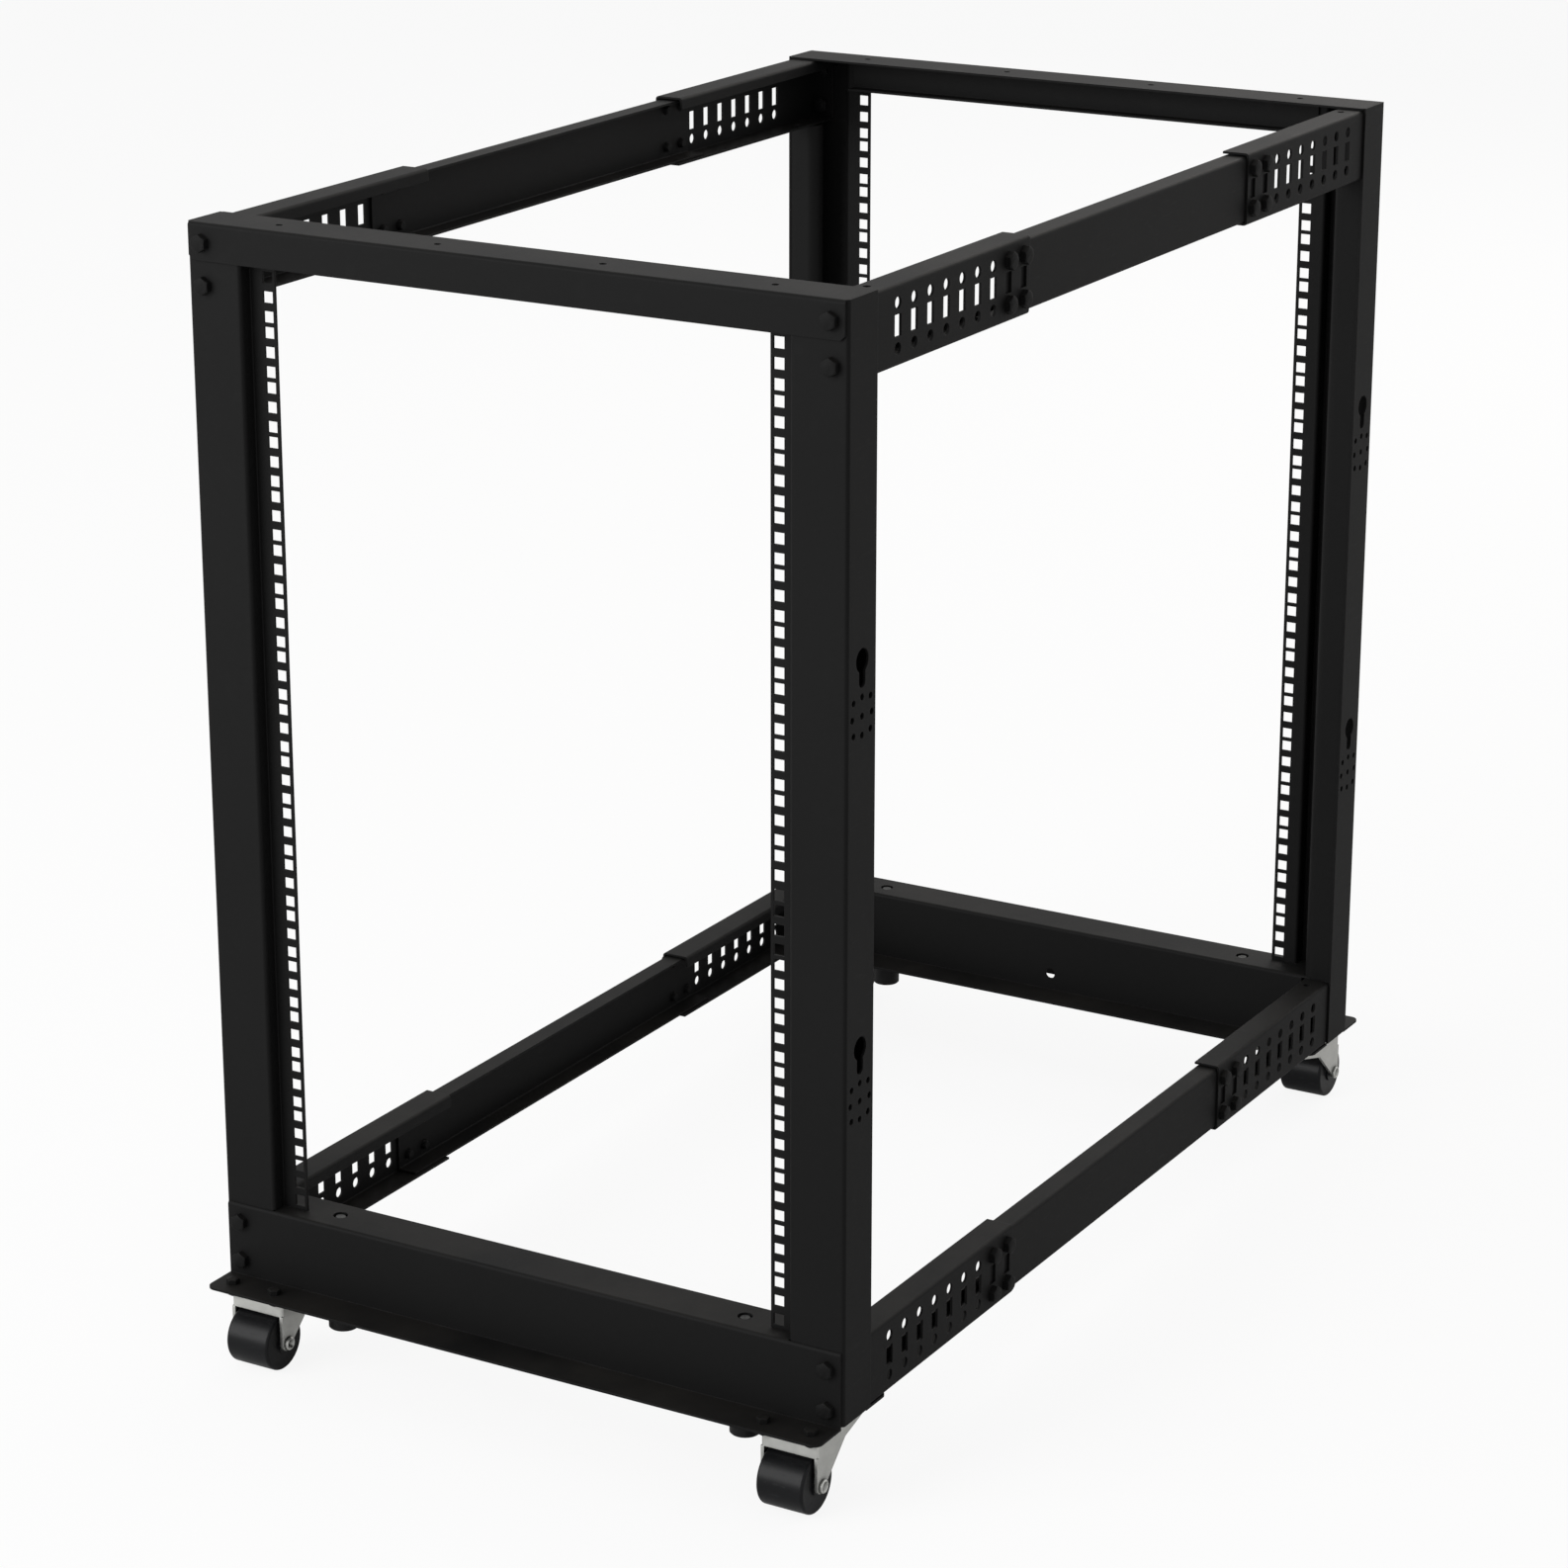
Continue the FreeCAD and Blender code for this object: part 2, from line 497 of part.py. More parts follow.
# ------------------------------------------------------------------ side rails
def make_sleeves(doc, stem, middle):
    """Fold an end sleeve: a lipped channel with hole columns and a tab for the post."""
    body = doc.addObject("PartDesign::Body", stem)
    bottom = f"({middle} - Rack.sleeve_height / 2)"
    top = f"({middle} + Rack.sleeve_height / 2)"
    inner = f"({RAIL_OUTER} - Rack.sleeve_flange)"
    lip = f"({RAIL_OUTER} - Rack.lipped_flange)"
    outline = new_sketch(body, stem + "_outline", XZ, f"-{SLEEVE_FRONT}")
    add_outline(outline, channel(RAIL_OUTER, inner, bottom, top)[:-2] + [
        (f"{lip} + Rack.sheet", f"{bottom} + Rack.sheet"),
        (f"{lip} + Rack.sheet", f"{bottom} + Rack.lip_height"),
        (lip, f"{bottom} + Rack.lip_height"),
        (lip, bottom),
    ])
    feature = pad(body, outline, f"{LAST_COLUMN} - {SLEEVE_FRONT} + Rack.sleeve_end")
    feature.Reversed = True
    finish_feature(body, feature)
    round_folds(body, 1, [(RAIL_OUTER, bottom), (RAIL_OUTER, top), (lip, bottom)],
                "Rack.bend_radius")
    round_folds(body, 1, [
        (f"{RAIL_OUTER} - Rack.sheet", f"{bottom} + Rack.sheet"),
        (f"{RAIL_OUTER} - Rack.sheet", f"{top} - Rack.sheet"),
        (f"{lip} + Rack.sheet", f"{bottom} + Rack.sheet"),
    ], "Rack.bend_radius - Rack.sheet")
    tab = new_sketch(body, stem + "_tab", XZ, f"-{SLEEVE_FRONT}")
    add_rectangle(tab, (inner, f"{bottom} + Rack.sheet / 2"),
                  (f"{RAIL_OUTER} - Rack.sheet / 2", f"{top} - Rack.sheet / 2"))
    feature = pad(body, tab, "Rack.sheet")
    feature.Reversed = True
    finish_feature(body, feature)
    corner = new_sketch(body, stem + "_corner", XY)
    fold_room = "(Rack.bend_radius - Rack.sheet)"
    add_outline(corner, [
        (f"{RAIL_OUTER} + 1", f"{SLEEVE_FRONT} - 1"),
        (f"{RAIL_OUTER} - {fold_room}", f"{SLEEVE_FRONT} - 1"),
        (f"{RAIL_OUTER} - {fold_room}", SLEEVE_FRONT),
        (RAIL_OUTER, f"{SLEEVE_FRONT} + {fold_room}"),
        (f"{RAIL_OUTER} + 1", f"{SLEEVE_FRONT} + {fold_room}"),
    ])
    pocket(body, corner)

    holes = new_sketch(body, stem + "_column", YZ, RAIL_OUTER)
    column = f"{SLEEVE_FRONT} + Rack.first_column"
    for up in (-1, 1):
        add_circle(holes, (column, f"{middle} + {up} * Rack.round_spacing / 2"), "Rack.round_hole")
    add_rectangle(holes, (f"{column} - Rack.slot_width / 2", f"{middle} - Rack.slot_height / 2"),
                  (f"{column} + Rack.slot_width / 2", f"{middle} + Rack.slot_height / 2"))
    repeat(body, pocket(body, holes, "2 * Rack.sheet"), "Y_Axis",
           "Rack.column_pitch", "Rack.open_columns + 2")
    tie = new_sketch(body, stem + "_tie", XY, top)
    add_circle(tie, (f"{inner} + Rack.tie_hole_inset", f"{SLEEVE_FRONT} + Rack.tie_hole_back"), "Rack.tie_hole")
    pocket(body, tie, "2 * Rack.sheet")

    body.Label = stem + "_front_right"
    rear_right = mirrored(doc, stem + "_rear_right", body, (0, 1, 0))
    front_left = turned_over(doc, stem + "_front_left", body, middle)
    rear_left = turned_over(doc, stem + "_rear_left", rear_right, middle)
    return [body, front_left, rear_right, rear_left]


def channel(outer, inner, bottom, top):
    """Return the outline of a channel that opens towards the middle of the rack."""
    return [
        (outer, bottom),
        (outer, top),
        (inner, top),
        (inner, f"{top} - Rack.sheet"),
        (f"{outer} - Rack.sheet", f"{top} - Rack.sheet"),
        (f"{outer} - Rack.sheet", f"{bottom} + Rack.sheet"),
        (inner, f"{bottom} + Rack.sheet"),
        (inner, bottom),
    ]


def make_bars(doc, stem, middle):
    """Fold a middle bar that is bolted inside the two sleeves of its side."""
    body = doc.addObject("PartDesign::Body", stem)
    body.Label = stem + "_right"
    outer = f"({RAIL_OUTER} - Rack.sheet - Rack.seat_gap / 2)"
    inner = f"({outer} - Rack.bar_flange)"
    bottom = f"({middle} - Rack.sleeve_height / 2 + Rack.sheet + Rack.seat_gap)"
    top = f"({bottom} + Rack.bar_height)"
    half = f"(Rack.bar_end - {BOLTED_COLUMN})"
    outline = new_sketch(body, stem + "_outline", XZ)
    add_outline(outline, channel(outer, inner, bottom, top))
    pad(body, outline, f"2 * {half}", both_ways=True)
    round_folds(body, 1, [(outer, bottom), (outer, top)], "Rack.bend_radius")
    round_folds(body, 1, [
        (f"{outer} - Rack.sheet", f"{bottom} + Rack.sheet"),
        (f"{outer} - Rack.sheet", f"{top} - Rack.sheet"),
    ], "Rack.bend_radius - Rack.sheet")
    holes = new_sketch(body, stem + "_column", YZ, outer)
    for end in (-1, 1):
        for bolted in (BOLTED_COLUMN, LAST_COLUMN):
            column = f"{end} * {bolted}"
            for up in (-1, 1):
                add_circle(holes, (column, f"{middle} + {up} * Rack.round_spacing / 2"),
                           "Rack.round_hole")
    pocket(body, holes, "2 * Rack.sheet")
    return [body, mirrored(doc, stem + "_left", body, (1, 0, 0))]


# ------------------------------------------------------------- feet and casters
def turned(body, name, plane, places, axis):
    """Turn a closed outline about one of the body's axes."""
    sketch = new_sketch(body, name, plane)
    add_outline(sketch, places)
    feature = body.newObject("PartDesign::Revolution", name + "_turn")
    feature.Profile = sketch
    feature.ReferenceAxis = (origin_item(body, axis), [""])
    feature.Angle = 360
    return finish_feature(body, feature)


def place(body, x, y, z):
    """Put a body at a place given by three expressions."""
    for letter, text in zip("xyz", (x, y, z)):
        body.setExpression(f"Placement.Base.{letter}", text)


def make_feet(doc):
    """Turn a levelling foot and its stem, measured from the base plate's underside."""
    body = doc.addObject("PartDesign::Body", "foot")
    under = "(-Rack.foot_gap)"
    bottom = "(-Rack.foot_gap - Rack.foot_height)"
    turned(body, "foot_outline", XZ, [
        ("0", bottom),
        ("Rack.foot_radius - 1", bottom),
        ("Rack.foot_radius", f"{bottom} + 1"),
        ("Rack.foot_radius", f"{under} - 1"),
        ("Rack.foot_radius - 1", under),
        ("Rack.stem_radius", under),
        ("Rack.stem_radius", f"{under} + Rack.stem_length - 1"),
        ("Rack.stem_radius - 1", f"{under} + Rack.stem_length"),
        ("0", f"{under} + Rack.stem_length"),
    ], "Z_Axis")
    place(body, FOOT_X, FOOT_Y, BASE_UNDER)
    return four_corners(doc, "foot", body)


def make_forks(doc):
    """Press a caster's fork: a plate, a front skirt and two legs that taper to the axle."""
    body = doc.addObject("PartDesign::Body", "fork")
    half = "(Rack.caster_width / 2)"
    inner = f"({half} - Rack.caster_sheet)"
    top = "Rack.axle_drop"
    skirt = f"({top} - Rack.skirt_height)"
    tip_middle = "(-Rack.tip_lead)"
    front = f"({tip_middle} - Rack.leg_tip)"
    bend_end = f"({front} + Rack.caster_bend)"
    tip_y = f"({tip_middle} + Rack.leg_tip * sin(Rack.leg_slope))"
    tip_z = "(-Rack.leg_tip * cos(Rack.leg_slope))"
    knee_y = f"({front} + Rack.leg_depth)"
    knee_z = f"({tip_z} + ({knee_y} - {tip_y}) * tan(Rack.leg_slope))"
    plate_front = f"({BEAM_Y} - Rack.plate_front + Rack.caster_rim - {AXLE_Y})"
    plate_rear = f"({BASE_BACK} + Rack.plate_back - Rack.caster_rim - {AXLE_Y})"

    hood = new_sketch(body, "fork_hood", XY, skirt)
    add_rectangle(hood, (f"-{half}", front), (half, f"{bend_end} + Rack.caster_bend"))
    pad(body, hood, "Rack.skirt_height")
    round_folds(body, 2, [(f"-{half}", front), (half, front)], "Rack.caster_bend")
    legs = new_sketch(body, "fork_legs", YZ)
    add_outline(legs, [
        (front, "0"),
        (tip_middle, "0"),
        (tip_y, tip_z),
        (knee_y, knee_z),
        (plate_rear, f"{top} - Rack.flange_end"),
        (plate_rear, top),
        (bend_end, top),
        (bend_end, skirt),
        (front, skirt),
    ])
    pad(body, legs, "Rack.caster_width", both_ways=True)
    tip = new_sketch(body, "fork_tip", YZ)
    add_circle(tip, (tip_middle, "0"), "2 * Rack.leg_tip")
    pad(body, tip, "Rack.caster_width", both_ways=True)

    space = new_sketch(body, "fork_space", XZ, f"-({front} + Rack.caster_sheet)")
    add_rectangle(space, (f"-{inner}", "-2 * Rack.leg_tip"), (inner, f"{top} - Rack.caster_sheet"))
    pocket(body, space, f"{plate_rear} - {front}")
    opening = new_sketch(body, "fork_opening", XZ)
    add_rectangle(opening, (f"-{inner}", "-2 * Rack.leg_tip"), (inner, skirt))
    pocket(body, opening)
    plate = new_sketch(body, "fork_plate", XY, f"{top} - Rack.caster_sheet")
    add_rectangle(plate, (f"-{half}", plate_front), (half, bend_end))
    pad(body, plate, "Rack.caster_sheet")
    round_folds(body, 2, [(f"-{half}", plate_front), (half, plate_front)], "Rack.caster_corner")
    bore = new_sketch(body, "fork_bore", YZ)
    add_circle(bore, ("0", "0"), "2 * (Rack.axle_radius + Rack.axle_gap)")
    pocket(body, bore)
    place(body, CASTER_X, AXLE_Y, "Rack.wheel_radius")
    return four_corners(doc, "fork", body)


def make_axles(doc):
    """Turn an axle with a hollow head, like a rivet's, outside each leg of its fork."""
    body = doc.addObject("PartDesign::Body", "axle")
    seat = "(Rack.caster_width / 2 + Rack.seat_gap / 2)"
    end = f"({seat} + Rack.axle_head_height)"
    half_outline = [
        ("0", f"{end} - Rack.axle_recess_depth"),
        ("Rack.axle_recess_floor", f"{end} - Rack.axle_recess_depth"),
        ("Rack.axle_recess", end),
        ("Rack.axle_head - Rack.axle_head_edge", end),
        ("Rack.axle_head", f"{end} - Rack.axle_head_edge"),
        ("Rack.axle_head", seat),
        ("Rack.axle_radius", seat),
    ]
    outline = [(along, radius) for radius, along in half_outline]
    outline += [(f"-({along})", radius) for radius, along in reversed(half_outline)]
    turned(body, "axle_outline", XZ, outline, "X_Axis")
    place(body, CASTER_X, AXLE_Y, "Rack.wheel_radius")
    return four_corners(doc, "axle", body)


def make_wheels(doc):
    """Turn a wide roller with a short hub on each side."""
    body = doc.addObject("PartDesign::Body", "wheel")
    half = "(Rack.caster_width / 2 - Rack.caster_sheet - Rack.wheel_gap)"
    hub = "(Rack.caster_width / 2 - Rack.caster_sheet - Rack.hub_gap)"
    bore = "(Rack.axle_radius + Rack.axle_gap)"
    turned(body, "wheel_outline", XZ, [
        (f"-{hub}", bore),
        (f"-{hub}", "Rack.hub_radius"),
        (f"-{half}", "Rack.hub_radius"),
        (f"-{half}", "Rack.wheel_radius"),
        (half, "Rack.wheel_radius"),
        (half, "Rack.hub_radius"),
        (hub, "Rack.hub_radius"),
        (hub, bore),
    ], "X_Axis")
    roller = body.Tip
    radius = float(body.evalExpression("Rack.wheel_radius"))
    rims = []
    for number, edge in enumerate(roller.Shape.Edges, start=1):
        if edge.Curve.TypeId == "Part::GeomCircle" and abs(edge.Curve.Radius - radius) < 0.01:
            rims.append(f"Edge{number}")
    rounding = body.newObject("PartDesign::Fillet", "wheel_rounding")
    rounding.Base = (roller, rims)
    rounding.setExpression("Radius", "Rack.wheel_edge")
    finish_feature(body, rounding)
    place(body, CASTER_X, AXLE_Y, "Rack.wheel_radius")
    return four_corners(doc, "wheel", body)


# ------------------------------------------------------------------- the model
def check_document(doc, parts):
    """Stop if any object failed or any sub-part is not a valid solid."""
    for item in doc.Objects:
        if "Invalid" in item.State or "Error" in item.State:
            raise RuntimeError(f"{item.Name} failed: {item.State}")
    for part in parts:
        shape = part.Shape
        if shape.isNull() or not shape.isValid() or len(shape.Solids) != 1:
            raise RuntimeError(f"{part.Label} is not one valid solid")


def main():
    """Build every sub-part and write one STEP file for each."""
    doc = FreeCAD.newDocument("open_frame_rack")
    make_sheet(doc)
    upper_rail = f"({HEADER_TOP} - Rack.sheet - Rack.seat_gap - Rack.sleeve_height / 2)"
    lower_rail = f"({PLATE_TOP} + Rack.sleeve_lift + Rack.sleeve_height / 2)"
    parts = make_post(doc)
    parts += make_headers(doc)
    parts += make_bases(doc)
    parts += make_sleeves(doc, "top_sleeve", upper_rail)
    parts += make_sleeves(doc, "bottom_sleeve", lower_rail)
    parts += make_bars(doc, "top_bar", upper_rail)
    parts += make_bars(doc, "bottom_bar", lower_rail)
    parts += make_feet(doc)
    parts += make_forks(doc)
    parts += make_axles(doc)
    parts += make_wheels(doc)
    doc.recompute()
    check_document(doc, parts)
    os.makedirs(OUTPUT_FOLDER, exist_ok=True)
    for part in parts:
        part.Shape.exportStep(os.path.join(OUTPUT_FOLDER, part.Label + ".step"))
        print(part.Label, round(part.Shape.Volume, 1), "mm3")


main()
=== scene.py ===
"""Four post open frame rack: finishes, small fasteners, studio light and camera.

Metres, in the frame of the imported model: floor at z = 0, the front faces -Y.
"""

import logging
import math
from dataclasses import dataclass
from enum import Enum
from typing import Callable, Iterator

import bmesh
import bpy
from mathutils import Matrix, Vector


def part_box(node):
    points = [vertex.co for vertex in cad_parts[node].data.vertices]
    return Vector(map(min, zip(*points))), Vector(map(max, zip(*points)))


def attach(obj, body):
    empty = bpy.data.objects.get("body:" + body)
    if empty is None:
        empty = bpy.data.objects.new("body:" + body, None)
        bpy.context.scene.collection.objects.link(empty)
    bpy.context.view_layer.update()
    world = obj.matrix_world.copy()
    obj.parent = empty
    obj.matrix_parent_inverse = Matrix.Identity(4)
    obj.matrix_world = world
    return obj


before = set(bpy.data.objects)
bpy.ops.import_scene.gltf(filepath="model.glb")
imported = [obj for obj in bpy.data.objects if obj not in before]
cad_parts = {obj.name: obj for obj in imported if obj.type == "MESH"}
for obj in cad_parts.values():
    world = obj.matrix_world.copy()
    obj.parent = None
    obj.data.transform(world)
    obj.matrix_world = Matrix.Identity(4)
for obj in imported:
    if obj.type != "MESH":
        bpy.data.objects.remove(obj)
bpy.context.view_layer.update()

log = logging.getLogger("rack")

MM = 0.001
FRAME_BODY = "frame"
DEPTHS = (("front", -1), ("rear", 1))
SIDES = (("right", 1), ("left", -1))
WELD = 0.01 * MM
ALONG_AXIS = 0.9
EDGE_SEGMENTS = 3
BEND_SEGMENTS = 8


# ------------------------------ the bench
def clear_selection() -> None:
    """Leave edit mode and select nothing."""
    if bpy.context.object and bpy.context.object.mode != "OBJECT":
        bpy.ops.object.mode_set(mode="OBJECT")
    bpy.ops.object.select_all(action="DESELECT")


def make_active(piece: bpy.types.Object) -> None:
    """Select one piece alone and make it the active one.

    Args:
        piece: The piece to work on next.
    """
    clear_selection()
    piece.select_set(True)
    bpy.context.view_layer.objects.active = piece


def add_cylinder(name: str, sides: int, radius: float, low: float, high: float) -> bpy.types.Object:
    """Add a prism about the Z axis.

    Args:
        name: The new piece's name.
        sides: How many sides it has.
        radius: Radius to its corners.
        low: Height of its bottom.
        high: Height of its top.

    Returns:
        The new piece, alone in the selection.
    """
    clear_selection()
    bpy.ops.mesh.primitive_cylinder_add(vertices=sides, radius=radius, depth=high - low,
                                        location=(0, 0, (low + high) / 2))
    piece = bpy.context.object
    piece.name = name
    bpy.ops.object.transform_apply(location=True, rotation=True, scale=True)
    return piece


def add_block(name: str, low: Vector, high: Vector, edge: float) -> bpy.types.Object:
    """Add a block with rounded edges.

    Args:
        name: The new piece's name.
        low: Its lowest corner.
        high: Its highest corner.
        edge: Rounding of its edges.

    Returns:
        The new piece.
    """
    clear_selection()
    bpy.ops.mesh.primitive_cube_add(size=1.0, location=(low + high) / 2)
    piece = bpy.context.object
    piece.name = name
    piece.scale = high - low
    bpy.ops.object.transform_apply(location=True, rotation=True, scale=True)
    bpy.ops.object.mode_set(mode="EDIT")
    bpy.ops.mesh.select_all(action="SELECT")
    bpy.ops.mesh.bevel(offset=edge, segments=EDGE_SEGMENTS, affect="EDGES")
    bpy.ops.object.mode_set(mode="OBJECT")
    finish_mesh(piece)
    return piece


def pick_faces(piece: bpy.types.Object, wanted: Callable[[Vector, Vector], bool]) -> None:
    """Go into edit mode with the faces selected that a test names.

    Args:
        piece: The piece to edit.
        wanted: Test of a face's middle and normal.
    """
    make_active(piece)
    bpy.ops.object.mode_set(mode="EDIT")
    bpy.ops.mesh.select_mode(type="FACE")
    bpy.ops.mesh.select_all(action="DESELECT")
    mesh = bmesh.from_edit_mesh(piece.data)
    for face in mesh.faces:
        if wanted(face.calc_center_median(), face.normal):
            face.select_set(True)
    bmesh.update_edit_mesh(piece.data)


def pick_edge(piece: bpy.types.Object, wanted: Callable[[Vector], bool]) -> None:
    """Go into edit mode with the edges selected whose two ends both pass a test.

    Args:
        piece: The piece to edit.
        wanted: Test of an end's place.
    """
    make_active(piece)
    bpy.ops.object.mode_set(mode="EDIT")
    bpy.ops.mesh.select_mode(type="EDGE")
    bpy.ops.mesh.select_all(action="DESELECT")
    mesh = bmesh.from_edit_mesh(piece.data)
    for edge in mesh.edges:
        if all(wanted(end.co) for end in edge.verts):
            edge.select_set(True)
    bmesh.update_edit_mesh(piece.data)


def apply_modifier(piece: bpy.types.Object, kind: str, **settings: object) -> None:
    """Add a modifier with its settings and apply it at once.

    Args:
        piece: The piece that gets it.
        kind: The modifier's type.
        **settings: Its settings by name.
    """
    make_active(piece)
    modifier = piece.modifiers.new(kind.lower(), kind)
    for name, value in settings.items():
        setattr(modifier, name, value)
    bpy.ops.object.modifier_apply(modifier=modifier.name)


def join(name: str, pieces: list[bpy.types.Object]) -> bpy.types.Object:
    """Join pieces into the first one and name it.

    Args:
        name: The joined piece's name.
        pieces: The pieces, which lose their own objects apart from the first.

    Returns:
        The joined piece.
    """
    make_active(pieces[0])
    for piece in pieces[1:]:
        piece.select_set(True)
    bpy.ops.object.join()
    pieces[0].name = name
    return pieces[0]


def finish_mesh(piece: bpy.types.Object, crease: float = 35.0) -> None:
    """Turn the faces outwards and shade them smooth up to a crease.

    Args:
        piece: The piece to finish.
        crease: Angle in degrees from which an edge stays sharp.
    """
    make_active(piece)
    bpy.ops.object.mode_set(mode="EDIT")
    bpy.ops.mesh.select_all(action="SELECT")
    bpy.ops.mesh.remove_doubles(threshold=WELD)
    bpy.ops.mesh.normals_make_consistent(inside=False)
    bpy.ops.object.mode_set(mode="OBJECT")
    bpy.ops.object.shade_smooth_by_angle(angle=math.radians(crease))


def copy_to(source: bpy.types.Object, name: str, place: Matrix) -> bpy.types.Object:
    """Copy a piece with a mesh of its own.

    Args:
        source: The piece to copy.
        name: The copy's name.
        place: Where the copy goes, put into its mesh. It may mirror.

    Returns:
        The copy, its object at the origin.
    """
    mesh = source.data.copy()
    mesh.transform(place)
    if place.determinant() < 0:
        mesh.flip_normals()
    piece = bpy.data.objects.new(name, mesh)
    mesh.name = name
    bpy.context.scene.collection.objects.link(piece)
    return piece


def discard(piece: bpy.types.Object) -> None:
    """Delete a piece that was only a pattern or a cutter.

    Args:
        piece: The piece to delete.
    """
    bpy.data.objects.remove(piece, do_unlink=True)


# ------------------------------ node boards
class Board:
    """A node tree with short ways to add and link nodes."""

    COLOR_MIX_INPUTS = (0, 6, 7)
    COLOR_MIX_OUTPUT = 2

    def __init__(self, tree: bpy.types.NodeTree) -> None:
        """Start on a tree.

        Args:
            tree: The node tree of a material, world or group.
        """
        self.tree = tree

    def add(self, kind: str, **settings: object) -> bpy.types.Node:
        """Add a node.

        Args:
            kind: The node's type.
            **settings: Its own properties by name.

        Returns:
            The node.
        """
        node = self.tree.nodes.new(kind)
        for name, value in settings.items():
            setattr(node, name, value)
        return node

    def wire(self, source: object, target: object) -> None:
        """Link an output to an input, or put a plain value on the input.

        Args:
            source: An output socket, or a value.
            target: The input socket.
        """
        if isinstance(source, bpy.types.NodeSocket):
            self.tree.links.new(source, target)
        else:
            target.default_value = source

    def maths(self, operation: str, *inputs: object) -> bpy.types.NodeSocket:
        """Work out numbers; returns the result socket."""
        node = self.add("ShaderNodeMath", operation=operation)
        for target, source in zip(node.inputs, inputs):
            self.wire(source, target)
        return node.outputs[0]

    def vector(self, operation: str, *inputs: object) -> bpy.types.Node:
        """Work out vectors; returns the node."""
        node = self.add("ShaderNodeVectorMath", operation=operation)
        for target, source in zip(node.inputs, inputs):
            self.wire(source, target)
        return node

    def noise(self, where: object, scale: object, detail: float = 3.0,
              roughness: float = 0.5) -> bpy.types.NodeSocket:
        """Cloudy noise of a given scale; returns its value socket."""
        node = self.add("ShaderNodeTexNoise")
        self.wire(where, node.inputs["Vector"])
        self.wire(scale, node.inputs["Scale"])
        node.inputs["Detail"].default_value = detail
        node.inputs["Roughness"].default_value = roughness
        return node.outputs["Fac"]

    def remap(self, value: object, low: object, high: object,
              to_low: object = 0.0, to_high: object = 1.0) -> bpy.types.NodeSocket:
        """Stretch a value from one range to another, clamped."""
        node = self.add("ShaderNodeMapRange")
        for name, source in (("Value", value), ("From Min", low), ("From Max", high),
                             ("To Min", to_low), ("To Max", to_high)):
            self.wire(source, node.inputs[name])
        return node.outputs[0]

    def blend(self, share: object, first: object, second: object) -> bpy.types.NodeSocket:
        """Mix two colours; returns the colour socket."""
        node = self.add("ShaderNodeMix", data_type="RGBA")
        for index, source in zip(self.COLOR_MIX_INPUTS, (share, first, second)):
            self.wire(source, node.inputs[index])
        return node.outputs[self.COLOR_MIX_OUTPUT]

    def overlay(self, share: object, first: object, second: object) -> bpy.types.NodeSocket:
        """Mix two shaders; returns the shader socket."""
        node = self.add("ShaderNodeMixShader")
        for source, target in zip((share, first, second), node.inputs):
            self.wire(source, target)
        return node.outputs[0]

    def bump(self, height: object, distance: float, strength: float = 1.0,
             normal: object = None) -> bpy.types.NodeSocket:
        """Turn a height into a bumped normal, over another normal if one is given.

        Args:
            height: Where the height comes from.
            distance: How far a height of 1 stands out.
            strength: Share of the bump that shows.
            normal: The normal to start from, or None for the face's own.

        Returns:
            The normal socket.
        """
        node = self.add("ShaderNodeBump")
        node.inputs["Distance"].default_value = distance
        node.inputs["Strength"].default_value = strength
        self.wire(height, node.inputs["Height"])
        if normal is not None:
            self.wire(normal, node.inputs["Normal"])
        return node.outputs[0]


def blank_board(owner: bpy.types.ID) -> Board:
    """Empty the nodes of a material or world.

    Args:
        owner: The material or world.

    Returns:
        A board on its node tree.
    """
    owner.use_nodes = True
    owner.node_tree.nodes.clear()
    return Board(owner.node_tree)


def new_group(name: str, inputs: dict[str, tuple[str, object]],
              outputs: dict[str, str]) -> tuple[bpy.types.NodeTree, Board, object, object]:
    """Start a shader node group with named sockets.

    Args:
        name: The group's name.
        inputs: Kind and starting value of each input by name.
        outputs: Kind of each output by name.

    Returns:
        The group, its board, and the nodes that hold its inputs and outputs.
    """
    group = bpy.data.node_groups.new(name, "ShaderNodeTree")
    for label, (kind, value) in inputs.items():
        socket = group.interface.new_socket(label, in_out="INPUT", socket_type=f"NodeSocket{kind}")
        if value is not None:
            socket.default_value = value
    for label, kind in outputs.items():
        group.interface.new_socket(label, in_out="OUTPUT", socket_type=f"NodeSocket{kind}")
    board = Board(group)
    return group, board, board.add("NodeGroupInput"), board.add("NodeGroupOutput")


